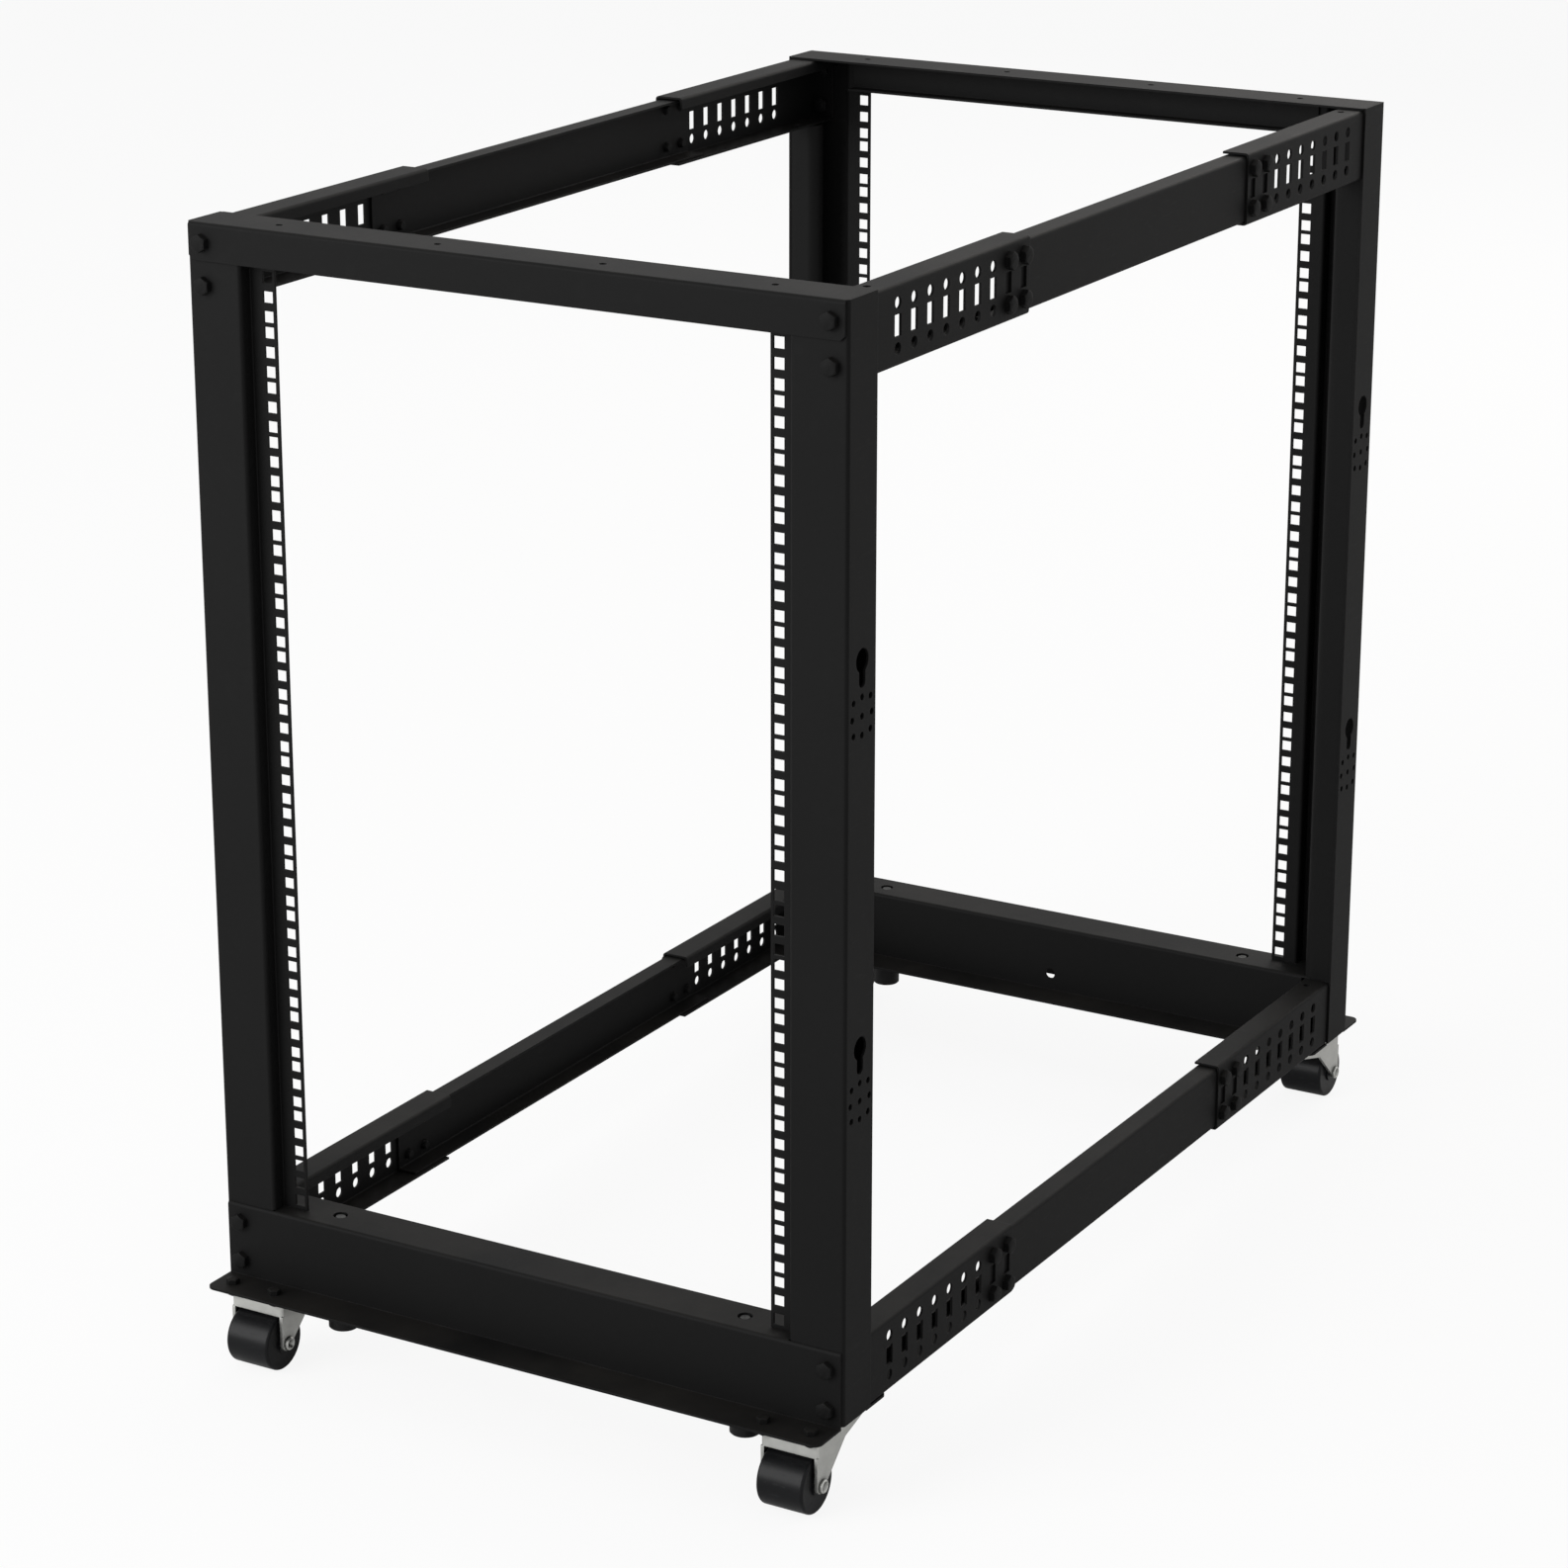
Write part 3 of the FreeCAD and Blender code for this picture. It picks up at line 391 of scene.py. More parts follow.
class Effects:
    """The node groups that the finishes share.

    Each range says which values of a noise or a slope the effect starts and ends at.
    """

    WAVE_TIMES = 6.0
    SPECK_RANGE = (0.58, 0.75)
    EDGE_RANGE = (0.995, 0.9)
    BREAK_RANGE = (0.45, 0.62)
    UPWARD_RANGE = (0.6, 0.95)
    DUST_RANGE = (0.35, 0.75)
    DRIFT_RANGE = (0.3, 0.7)
    SCUFF_RANGE = (0.66, 0.7)
    SCUFF_LAYERS = ((0.35, (1.0, 18.0, 1.0)), (-0.9, (16.0, 1.0, 5.0)))

    def __init__(self) -> None:
        """Build every group once."""
        self.grain = self.build_grain()
        self.edge_wear = self.build_edge_wear()
        self.dust = self.build_dust_and_sheen()
        self.drift = self.build_drift()
        self.scuffs = self.build_scuffs()
        self.hollows = self.build_painted_shade()

    def build_grain(self) -> bpy.types.NodeTree:
        """Fine bumps of a sprayed or moulded skin, with slow waves below them."""
        group, board, given, result = new_group(
            "fine_grain",
            {"Vector": ("Vector", None), "Size": ("Float", 0.6 * MM), "Waves": ("Float", 0.3)},
            {"Height": "Float", "Speck": "Float"})
        scale = board.maths("DIVIDE", 1.0, given.outputs["Size"])
        fine = board.noise(given.outputs["Vector"], scale, detail=2.0, roughness=0.55)
        slow_scale = board.maths("DIVIDE", scale, self.WAVE_TIMES)
        slow = board.noise(given.outputs["Vector"], slow_scale, detail=1.0)
        waves = board.maths("MULTIPLY", slow, given.outputs["Waves"])
        board.wire(board.maths("ADD", fine, waves), result.inputs["Height"])
        board.wire(board.remap(fine, *self.SPECK_RANGE), result.inputs["Speck"])
        return group

    def build_edge_wear(self) -> bpy.types.NodeTree:
        """Rounded edges, and a broken mask along them."""
        group, board, given, result = new_group(
            "edge_wear",
            {"Vector": ("Vector", None), "Width": ("Float", 0.6 * MM), "Breaks": ("Float", 60.0)},
            {"Wear": "Float", "Normal": "Vector"})
        bevel = board.add("ShaderNodeBevel", samples=6)
        board.wire(given.outputs["Width"], bevel.inputs["Radius"])
        flat = board.add("ShaderNodeNewGeometry")
        agreement = board.vector("DOT_PRODUCT", bevel.outputs[0], flat.outputs["Normal"])
        edge = board.remap(agreement.outputs["Value"], *self.EDGE_RANGE)
        breaks = board.noise(given.outputs["Vector"], given.outputs["Breaks"],
                             detail=4.0, roughness=0.65)
        wear = board.maths("MULTIPLY", edge, board.remap(breaks, *self.BREAK_RANGE))
        board.wire(wear, result.inputs["Wear"])
        board.wire(bevel.outputs[0], result.inputs["Normal"])
        return group

    def build_dust_and_sheen(self) -> bpy.types.NodeTree:
        """A mask of faces that look upwards: settled dust, and partly a painted sheen that lightens the
        tops.
        """
        group, board, given, result = new_group(
            "dust_and_top_sheen",
            {"Vector": ("Vector", None), "Patch": ("Float", 14.0)},
            {"Dust": "Float"})
        flat = board.add("ShaderNodeNewGeometry")
        axes = board.add("ShaderNodeSeparateXYZ")
        board.wire(flat.outputs["Normal"], axes.inputs[0])
        upward = board.remap(axes.outputs["Z"], *self.UPWARD_RANGE)
        cloud = board.noise(given.outputs["Vector"], given.outputs["Patch"], detail=5.0, roughness=0.6)
        dust = board.maths("MULTIPLY", upward, board.remap(cloud, *self.DUST_RANGE))
        board.wire(dust, result.inputs["Dust"])
        return group

    def build_drift(self) -> bpy.types.NodeTree:
        """A colour that drifts a little from place to place."""
        group, board, given, result = new_group(
            "tone_drift",
            {"Vector": ("Vector", None), "Color": ("Color", (0.5, 0.5, 0.5, 1.0)),
             "Amount": ("Float", 0.1), "Patch": ("Float", 6.0)},
            {"Color": "Color"})
        cloud = board.noise(given.outputs["Vector"], given.outputs["Patch"])
        low = board.maths("SUBTRACT", 1.0, given.outputs["Amount"])
        high = board.maths("ADD", 1.0, given.outputs["Amount"])
        gain = board.remap(cloud, *self.DRIFT_RANGE, low, high)
        scaled = board.vector("SCALE", given.outputs["Color"])
        board.wire(gain, scaled.inputs["Scale"])
        board.wire(scaled.outputs["Vector"], result.inputs["Color"])
        return group

    def build_scuffs(self) -> bpy.types.NodeTree:
        """Thin rubbed lines that cross in two directions."""
        group, board, given, result = new_group(
            "fine_scuffs",
            {"Vector": ("Vector", None), "Density": ("Float", 40.0)},
            {"Scuff": "Float"})
        lines = []
        for turn, stretch in self.SCUFF_LAYERS:
            mapping = board.add("ShaderNodeMapping")
            board.wire(given.outputs["Vector"], mapping.inputs["Vector"])
            mapping.inputs["Rotation"].default_value = (turn, turn, turn)
            mapping.inputs["Scale"].default_value = stretch
            streak = board.noise(mapping.outputs[0], given.outputs["Density"],
                                 detail=2.0, roughness=0.4)
            lines.append(board.remap(streak, *self.SCUFF_RANGE))
        board.wire(board.maths("MAXIMUM", *lines), result.inputs["Scuff"])
        return group

    def build_painted_shade(self) -> bpy.types.NodeTree:
        """A colour with painted shade: it darkens inside hollows and corners, the more the closer they
        are shut in.
        """
        group, board, given, result = new_group(
            "painted_hollow_shade",
            {"Color": ("Color", (0.5, 0.5, 0.5, 1.0)), "Reach": ("Float", 6.0 * MM),
             "Depth": ("Float", 1.5)},
            {"Color": "Color"})
        open_share = board.add("ShaderNodeAmbientOcclusion", samples=8)
        board.wire(given.outputs["Reach"], open_share.inputs["Distance"])
        gain = board.maths("POWER", open_share.outputs["AO"], given.outputs["Depth"])
        scaled = board.vector("SCALE", given.outputs["Color"])
        board.wire(gain, scaled.inputs["Scale"])
        board.wire(scaled.outputs["Vector"], result.inputs["Color"])
        return group


def place_group(board: Board, group: bpy.types.NodeTree, **values: object) -> bpy.types.Node:
    """Put a group in a material.

    Args:
        board: The material's board.
        group: The group.
        **values: Values or sockets for the group's inputs, by name.

    Returns:
        The group's node.
    """
    node = board.add("ShaderNodeGroup")
    node.node_tree = group
    for name, value in values.items():
        board.wire(value, node.inputs[name])
    return node


# ------------------------------ finishes
class Slot(Enum):
    """The material slots of the record."""

    POWDER = "black_powder_coat"
    ZINC = "zinc_plate"
    NYLON = "wheel_nylon"
    PLASTIC = "foot_plastic"


@dataclass(frozen=True)
class Finish:
    """What every finish has: slot, colour, roughness and gloss level, and its skin.

    Drift is the share that the colour drifts by and drift_patch how dense its patches are. Grain is
    the size of the skin's grains, waves the height of its slow waves and bump the height of both.
    """

    slot: Slot
    color: tuple[float, float, float, float]
    roughness: float
    gloss: float
    drift: float = 0.1
    drift_patch: float = 30.0
    grain: float = 0.6 * MM
    waves: float = 0.4
    bump: float = 0.03 * MM

    def start(self) -> tuple[bpy.types.Material, Board, bpy.types.Node, bpy.types.NodeSocket]:
        """Begin a material.

        Returns:
            The material, its board, its Principled BSDF and the Object coordinates.
        """
        material = bpy.data.materials.new(self.slot.value)
        board = blank_board(material)
        shader = board.add("ShaderNodeBsdfPrincipled")
        output = board.add("ShaderNodeOutputMaterial")
        board.wire(shader.outputs[0], output.inputs["Surface"])
        shader.inputs["Specular IOR Level"].default_value = self.gloss
        where = board.add("ShaderNodeTexCoord").outputs["Object"]
        return material, board, shader, where

    def skin(self, board: Board, effects: Effects,
             where: bpy.types.NodeSocket) -> tuple[bpy.types.NodeSocket, bpy.types.Node]:
        """Lay the drifting colour and the fine grain.

        Args:
            board: The material's board.
            effects: The shared groups.
            where: The Object coordinates.

        Returns:
            The colour socket and the grain's node.
        """
        drift = place_group(board, effects.drift, Vector=where, Color=self.color,
                            Amount=self.drift, Patch=self.drift_patch)
        grain = place_group(board, effects.grain, Vector=where, Size=self.grain, Waves=self.waves)
        return drift.outputs["Color"], grain


@dataclass(frozen=True)
class PowderCoat(Finish):
    """Baked black powder over steel: fine skin, edges lighter by wear and a painted highlight, dust and
    a painted sheen on the tops.
    """

    drift: float = 0.12
    drift_patch: float = 4.0
    grain: float = 0.7 * MM
    waves: float = 0.5
    bump: float = 0.05 * MM
    bump_strength: float = 0.7
    edge: float = 0.7 * MM
    edge_breaks: float = 45.0
    # Lighter edges: wear, and partly a painted highlight along them.
    edge_wear_and_highlight_share: float = 0.2
    edge_wear_and_highlight_color: tuple[float, float, float, float] = (0.04, 0.04, 0.039, 1.0)
    # The upward faces' lighter colour: dust, and partly a painted sheen on the tops.
    dust_and_sheen_patch: float = 11.0
    dust_and_sheen_share: float = 0.045
    dust_and_sheen_color: tuple[float, float, float, float] = (0.2, 0.18, 0.155, 1.0)
    speck_rise: float = 0.08
    scuff_density: float = 55.0
    scuff_fall: float = 0.03

    def build(self, effects: Effects) -> bpy.types.Material:
        """Make the material."""
        material, board, shader, where = self.start()
        color, grain = self.skin(board, effects, where)
        wear = place_group(board, effects.edge_wear, Vector=where, Width=self.edge,
                           Breaks=self.edge_breaks)
        dust = place_group(board, effects.dust, Vector=where, Patch=self.dust_and_sheen_patch)
        scuffs = place_group(board, effects.scuffs, Vector=where, Density=self.scuff_density)
        # Edges go lighter: rubbed paint, and partly a painted highlight along the edges.
        rubbed = board.blend(board.maths("MULTIPLY", wear.outputs["Wear"], self.edge_wear_and_highlight_share),
                             color, self.edge_wear_and_highlight_color)
        # Upward faces go lighter: dust, and partly a painted sheen where light falls on the tops.
        dust_and_sheen_tone = board.blend(board.maths("MULTIPLY", dust.outputs["Dust"], self.dust_and_sheen_share),
                            rubbed, self.dust_and_sheen_color)
        board.wire(dust_and_sheen_tone, shader.inputs["Base Color"])
        rough = board.remap(grain.outputs["Speck"], 0.0, 1.0,
                            self.roughness, self.roughness + self.speck_rise)
        polish = board.maths("MULTIPLY", scuffs.outputs["Scuff"], self.scuff_fall)
        board.wire(board.maths("SUBTRACT", rough, polish), shader.inputs["Roughness"])
        normal = board.bump(grain.outputs["Height"], self.bump, self.bump_strength,
                            wear.outputs["Normal"])
        board.wire(normal, shader.inputs["Normal"])
        return material


@dataclass(frozen=True)
class ZincPlate(Finish):
    """Bright zinc on pressed steel: soft cloudy gloss with drawn lines, and painted shade that darkens
    its hollows.
    """

    metal: float = 0.9
    drift: float = 0.06
    drift_patch: float = 90.0
    grain: float = 1.2 * MM
    waves: float = 0.8
    bump: float = 0.02 * MM
    bump_strength: float = 0.6
    edge: float = 0.5 * MM
    edge_breaks: float = 80.0
    shade_reach: float = 6.0 * MM
    shade_depth: float = 1.8
    height_range: tuple[float, float] = (0.4, 1.1)
    smoother: float = 0.05
    rougher: float = 0.06
    scuff_density: float = 120.0
    scuff_rise: float = 0.12

    def build(self, effects: Effects) -> bpy.types.Material:
        """Make the material."""
        material, board, shader, where = self.start()
        color, grain = self.skin(board, effects, where)
        wear = place_group(board, effects.edge_wear, Vector=where, Width=self.edge,
                           Breaks=self.edge_breaks)
        scuffs = place_group(board, effects.scuffs, Vector=where, Density=self.scuff_density)
        # Painted shade: the zinc colour darkens in recesses and in corners close to other parts.
        hollows = place_group(board, effects.hollows, Color=color,
                              Reach=self.shade_reach, Depth=self.shade_depth)
        board.wire(hollows.outputs["Color"], shader.inputs["Base Color"])
        shader.inputs["Metallic"].default_value = self.metal
        rough = board.remap(grain.outputs["Height"], *self.height_range,
                            self.roughness - self.smoother, self.roughness + self.rougher)
        rubbed = board.maths("MULTIPLY", scuffs.outputs["Scuff"], self.scuff_rise)
        board.wire(board.maths("ADD", rough, rubbed), shader.inputs["Roughness"])
        normal = board.bump(grain.outputs["Height"], self.bump, self.bump_strength,
                            wear.outputs["Normal"])
        board.wire(normal, shader.inputs["Normal"])
        return material


@dataclass(frozen=True)
class RollerNylon(Finish):
    """Moulded black nylon: a fine satin skin with fine grey scuffs."""

    grain: float = 0.5 * MM
    bump: float = 0.015 * MM
    scuff_density: float = 90.0
    scuff_share: float = 0.3
    scuff_rise: float = 0.15
    scuff_color: tuple[float, float, float, float] = (0.02, 0.0205, 0.022, 1.0)

    def build(self, effects: Effects) -> bpy.types.Material:
        """Make the material."""
        material, board, shader, where = self.start()
        color, grain = self.skin(board, effects, where)
        scuffs = place_group(board, effects.scuffs, Vector=where, Density=self.scuff_density)
        marked = board.blend(board.maths("MULTIPLY", scuffs.outputs["Scuff"], self.scuff_share),
                             color, self.scuff_color)
        board.wire(marked, shader.inputs["Base Color"])
        rubbed = board.maths("MULTIPLY", scuffs.outputs["Scuff"], self.scuff_rise)
        board.wire(board.maths("ADD", rubbed, self.roughness), shader.inputs["Roughness"])
        board.wire(board.bump(grain.outputs["Height"], self.bump), shader.inputs["Normal"])
        return material


@dataclass(frozen=True)
class FootPlastic(Finish):
    """Moulded foot on a blackened threaded stem, told apart by height and distance from the axis."""

    axis: tuple[float, float] = (197.0 * MM, 474.5 * MM)
    stem: float = 5.4 * MM
    shoulder: float = 69.2 * MM
    pitch: float = 1.5 * MM
    thread_depth: float = 6.0
    steel: tuple[float, float, float, float] = (0.017, 0.0165, 0.0155, 1.0)
    steel_metal: float = 0.9
    steel_roughness: float = 0.32

    def build(self, effects: Effects) -> bpy.types.Material:
        """Make the material."""
        material, board, shader, where = self.start()
        corner = board.vector("ABSOLUTE", where).outputs["Vector"]
        spread = board.vector("SUBTRACT", corner, (*self.axis, 0.0)).outputs["Vector"]
        parts = board.add("ShaderNodeSeparateXYZ")
        board.wire(spread, parts.inputs[0])
        squares = [board.maths("MULTIPLY", part, part) for part in (parts.outputs[0], parts.outputs[1])]
        radius = board.maths("SQRT", board.maths("ADD", *squares))
        inside = board.maths("LESS_THAN", radius, self.stem)
        above = board.maths("GREATER_THAN", parts.outputs[2], self.shoulder)
        stem = board.maths("MULTIPLY", inside, above)
        color, grain = self.skin(board, effects, where)
        board.wire(board.blend(stem, color, self.steel), shader.inputs["Base Color"])
        board.wire(board.maths("MULTIPLY", stem, self.steel_metal), shader.inputs["Metallic"])
        board.wire(board.remap(stem, 0.0, 1.0, self.roughness, self.steel_roughness),
                   shader.inputs["Roughness"])
        turn = board.maths("ARCTAN2", parts.outputs[1], parts.outputs[0])
        rise = board.maths("MULTIPLY", parts.outputs[2], 2 * math.pi / self.pitch)
        thread = board.maths("SINE", board.maths("ADD", turn, rise))
        thread = board.maths("MULTIPLY", thread, board.maths("MULTIPLY", stem, self.thread_depth))
        height = board.maths("ADD", thread, grain.outputs["Height"])
        board.wire(board.bump(height, self.bump), shader.inputs["Normal"])
        return material


class Wardrobe:
    """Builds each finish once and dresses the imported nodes."""

    def __init__(self) -> None:
        """Make the effects and the materials."""
        effects = Effects()
        finishes = [
            PowderCoat(Slot.POWDER, color=(0.004, 0.004, 0.004, 1.0), roughness=0.6, gloss=0.09),
            ZincPlate(Slot.ZINC, color=(0.48, 0.483, 0.462, 1.0), roughness=0.38, gloss=0.5),
            RollerNylon(Slot.NYLON, color=(0.006, 0.0062, 0.0068, 1.0), roughness=0.32, gloss=0.12),
            FootPlastic(Slot.PLASTIC, color=(0.006, 0.006, 0.006, 1.0), roughness=0.45, gloss=0.15),
        ]
        self.materials = {finish.slot: finish.build(effects) for finish in finishes}

    def dress_nodes(self) -> None:
        """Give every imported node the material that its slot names."""
        for name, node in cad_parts.items():
            for index in range(len(node.material_slots)):
                label = node.material_slots[index].material.name.split(".")[0]
                node.material_slots[index].material = self.materials[Slot(label)]
            log.info("node %s dressed", name)

    def dress(self, piece: bpy.types.Object, slot: Slot, body: str) -> None:
        """Give a new piece its finish and its body.

        Args:
            piece: The new piece.
            slot: Its material slot.
            body: The body that it rides on.
        """
        piece.data.materials.clear()
        piece.data.materials.append(self.materials[slot])
        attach(piece, body)


# ------------------------------ fasteners
@dataclass
class HexBolt:
    """A hexagon bolt, modelled along +Z with its head on z = 0.

    A nut sits below the sheets, unless its height is 0 and the thread ends bare. Flats and thread
    are widths, grip is the sheets' thickness, and tail is what sticks out beyond the nut.
    """

    name: str
    flats: float
    head: float
    thread: float
    grip: float
    nut: float
    tail: float
    turned_share: float = 0.94
    turned_slope: float = math.radians(30)
    blank_share: float = 1.02
    blank_sides: int = 36
    shank_sides: int = 20
    root_share: float = 0.07
    pitch_share: float = 0.15

    def hexagon(self, name: str, low: float, high: float, both_ends: bool) -> bpy.types.Object:
        """Cut a hexagon whose corners are turned off.

        Args:
            name: The piece's name.
            low: Height of its bottom.
            high: Height of its top.
            both_ends: Whether the bottom corners are turned off too.

        Returns:
            The hexagon.
        """
        corner = self.flats / math.sqrt(3)
        turned = self.turned_share * self.flats / 2
        blank_radius = corner * self.blank_share
        depth = (blank_radius - turned) * math.tan(self.turned_slope)
        foot = low + depth if both_ends else low
        blank = add_cylinder(name + "_blank", self.blank_sides, blank_radius, foot, high - depth)
        for end in (1, -1) if both_ends else (1,):
            pick_faces(blank, lambda middle, normal: normal.z * end > ALONG_AXIS)
            bpy.ops.mesh.inset(thickness=blank_radius - turned, depth=depth)
            bpy.ops.object.mode_set(mode="OBJECT")
        body = add_cylinder(name, 6, corner, low, high)
        apply_modifier(body, "BOOLEAN", operation="INTERSECT", object=blank, solver="EXACT")
        discard(blank)
        return body

    def shank(self, name: str, low: float, high: float) -> bpy.types.Object:
        """Turn a threaded shank, its threads as rings.

        Args:
            name: The piece's name.
            low: Height of its free end.
            high: Height where it enters the head.

        Returns:
            The shank.
        """
        crest = self.thread / 2
        root = crest - self.root_share * self.thread
        pitch = self.pitch_share * self.thread
        near = 0.1 * pitch
        shank = add_cylinder(name, self.shank_sides, root, low, low + pitch / 2)
        rings = max(2, int((high - low) / pitch))
        for ring in range(2 * rings - 1):
            height = low + pitch / 2 * (ring + 1)
            pick_faces(shank, lambda middle, normal: (normal.z > ALONG_AXIS
                                                      and abs(middle.z - height) < near))
            bpy.ops.mesh.extrude_region_move(TRANSFORM_OT_translate={"value": (0, 0, pitch / 2)})
            size = crest / root if ring % 2 == 0 else root / crest
            bpy.ops.transform.resize(value=(size, size, 1.0))
            bpy.ops.object.mode_set(mode="OBJECT")
        return shank

    def model(self) -> bpy.types.Object:
        """Model the bolt with its nut, if it has one.

        Returns:
            The pattern piece for the copies.
        """
        pieces = [self.hexagon(self.name, 0.0, self.head, False)]
        end = -self.grip - self.nut - self.tail
        if self.nut > 0:
            pieces.append(self.hexagon(self.name + "_nut", -self.grip - self.nut, -self.grip, True))
        pieces.append(self.shank(self.name + "_shank", end, 0.0))
        bolt = join(self.name, pieces)
        finish_mesh(bolt)
        return bolt


def corners() -> Iterator[tuple[str, int, int]]:
    """Give each corner's name with its signs along X and Y."""
    for depth, along in DEPTHS:
        for side, across in SIDES:
            yield f"{depth}_{side}", across, along


def facing(across: float, along: float, up: float, point: Vector) -> Matrix:
    """Stand a piece modelled along +Z on a point.

    Args:
        across: Where it looks, along X.
        along: Where it looks, along Y.
        up: Where it looks, along Z.
        point: Where its own origin goes.

    Returns:
        The matrix. A hexagon keeps two corners straight up and down, or to the front and rear.
    """
    ahead = Vector((across, along, up))
    corner = Vector((0, 1, 0)) if up else Vector((0, 0, 1))
    turn = Matrix((corner.cross(ahead), corner, ahead)).transposed()
    return Matrix.Translation(point) @ turn.to_4x4()


@dataclass
class Fasteners:
    """All bolts of the frame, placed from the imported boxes."""

    bolt_spacing: float = 34.6 * MM
    post_inset: float = 12.6 * MM
    first_column: float = 75.9 * MM
    column_pitch: float = 25.4 * MM
    open_columns: int = 7
    bolted_columns: int = 2
    sheet: float = 2.0 * MM
    caster_spread: float = 21.5 * MM
    outer_brim: float = 17.0 * MM
    inner_brim: float = 21.0 * MM

    def build(self, wardrobe: Wardrobe) -> int:
        """Make every bolt.

        Args:
            wardrobe: Gives the finish.

        Returns:
            How many bolts were placed.
        """
        bolts = [*self.post_bolts(), *self.rail_bolts(), *self.caster_bolts()]
        for bolt in bolts:
            wardrobe.dress(bolt, Slot.POWDER, FRAME_BODY)
        return len(bolts)

    def post_bolts(self) -> list[bpy.types.Object]:
        """Bolt headers, posts and bases to the ends of the rails."""
        pattern = HexBolt("post_bolt", flats=13 * MM, head=5.4 * MM, thread=8 * MM,
                          grip=6.1 * MM, nut=5.0 * MM, tail=1.2 * MM).model()
        bolts = []
        for corner, across, along in corners():
            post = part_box("post_" + corner)
            face = post[0].y if along < 0 else post[1].y
            for level in ("top", "bottom"):
                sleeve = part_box(f"{level}_sleeve_{corner}")
                outer = max(abs(sleeve[0].x), abs(sleeve[1].x))
                middle = (sleeve[0].z + sleeve[1].z) / 2
                for up in (-1, 1):
                    on_post = level == "top" and up < 0
                    seat = face if on_post else face + along * self.sheet
                    height = middle + up * self.bolt_spacing / 2
                    point = Vector((across * (outer - self.post_inset), seat, height))
                    bolts.append(copy_to(pattern, f"post_bolt_{level}_{corner}_{(up + 1) // 2}",
                                         facing(0, along, 0, point)))
        discard(pattern)
        return bolts

    def rail_bolts(self) -> list[bpy.types.Object]:
        """Bolt the sleeves to the middle bars through their last two columns."""
        pattern = HexBolt("rail_bolt", flats=13 * MM, head=5.4 * MM, thread=8 * MM,
                          grip=4.1 * MM, nut=0.0, tail=4.2 * MM).model()
        bolts = []
        for corner, across, along in corners():
            for level in ("top", "bottom"):
                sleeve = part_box(f"{level}_sleeve_{corner}")
                outer = sleeve[1].x if across > 0 else sleeve[0].x
                end = sleeve[0].y if along < 0 else sleeve[1].y
                middle = (sleeve[0].z + sleeve[1].z) / 2
                for step in range(self.bolted_columns):
                    column = self.first_column + (self.open_columns + step) * self.column_pitch
                    for up in (-1, 1):
                        height = middle + up * self.bolt_spacing / 2
                        point = Vector((outer, end - along * column, height))
                        name = f"rail_bolt_{level}_{corner}_{step}_{(up + 1) // 2}"
                        bolts.append(copy_to(pattern, name, facing(across, 0, 0, point)))
        discard(pattern)
        return bolts

    def caster_bolts(self) -> list[bpy.types.Object]:
        """Bolt each caster's plate to the brims of its base."""
        pattern = HexBolt("caster_bolt", flats=10 * MM, head=4.5 * MM, thread=6 * MM,
                          grip=4.6 * MM, nut=5 * MM, tail=1.5 * MM).model()
        bolts = []
        for corner, across, along in corners():
            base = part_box("base_" + ("front" if along < 0 else "rear"))
            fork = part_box("fork_" + corner)
            outer = base[0].y if along < 0 else base[1].y
            inner = base[1].y if along < 0 else base[0].y
            middle = (fork[0].x + fork[1].x) / 2
            level = fork[1].z + self.sheet
            rows = (outer - along * self.outer_brim, inner + along * self.inner_brim)
            for row, place in enumerate(rows):
                for side in (-1, 1):
                    point = Vector((middle + side * self.caster_spread, place, level))
                    bolts.append(copy_to(pattern, f"caster_bolt_{corner}_{row}_{(side + 1) // 2}",
                                         facing(0, 0, 1, point)))
        discard(pattern)
        return bolts


# ------------------------------ folded strips
@dataclass
class FoldedStrip:
    """A strip of sheet folded once, along +Z: one leg on y = 0 from x = 0, the other back along -Y."""

    name: str
    first_leg: float
    second_leg: float
    length: float
    bend: float
    sheet: float

    def model(self) -> bpy.types.Object:
        """Fold the strip.

        Returns:
            The pattern piece. Its two legs meet at x = first_leg, with the bend's outside there.
        """
        clear_selection()
        bpy.ops.mesh.primitive_plane_add(size=1.0, rotation=(-math.pi / 2, 0, 0),
                                         location=(self.first_leg / 2, 0, self.length / 2))
        strip = bpy.context.object
        strip.name = self.name
        strip.scale = (self.first_leg, self.length, 1.0)
        bpy.ops.object.transform_apply(location=True, rotation=True, scale=True)
        near = self.sheet / 10
        pick_edge(strip, lambda end: abs(end.x - self.first_leg) < near)
        bpy.ops.mesh.extrude_region_move(TRANSFORM_OT_translate={"value": (0, -self.second_leg, 0)})
        pick_edge(strip, lambda end: abs(end.x - self.first_leg) < near and abs(end.y) < near)
        bpy.ops.mesh.bevel(offset=self.bend, segments=BEND_SEGMENTS, affect="EDGES")
        pick_faces(strip, lambda middle, normal: True)
        bpy.ops.mesh.normals_make_consistent(inside=False)
        bpy.ops.object.mode_set(mode="OBJECT")
        if strip.data.polygons[0].normal.y < -ALONG_AXIS:
            strip.data.flip_normals()
        apply_modifier(strip, "SOLIDIFY", thickness=self.sheet, offset=-1.0)
        finish_mesh(strip)
        return strip


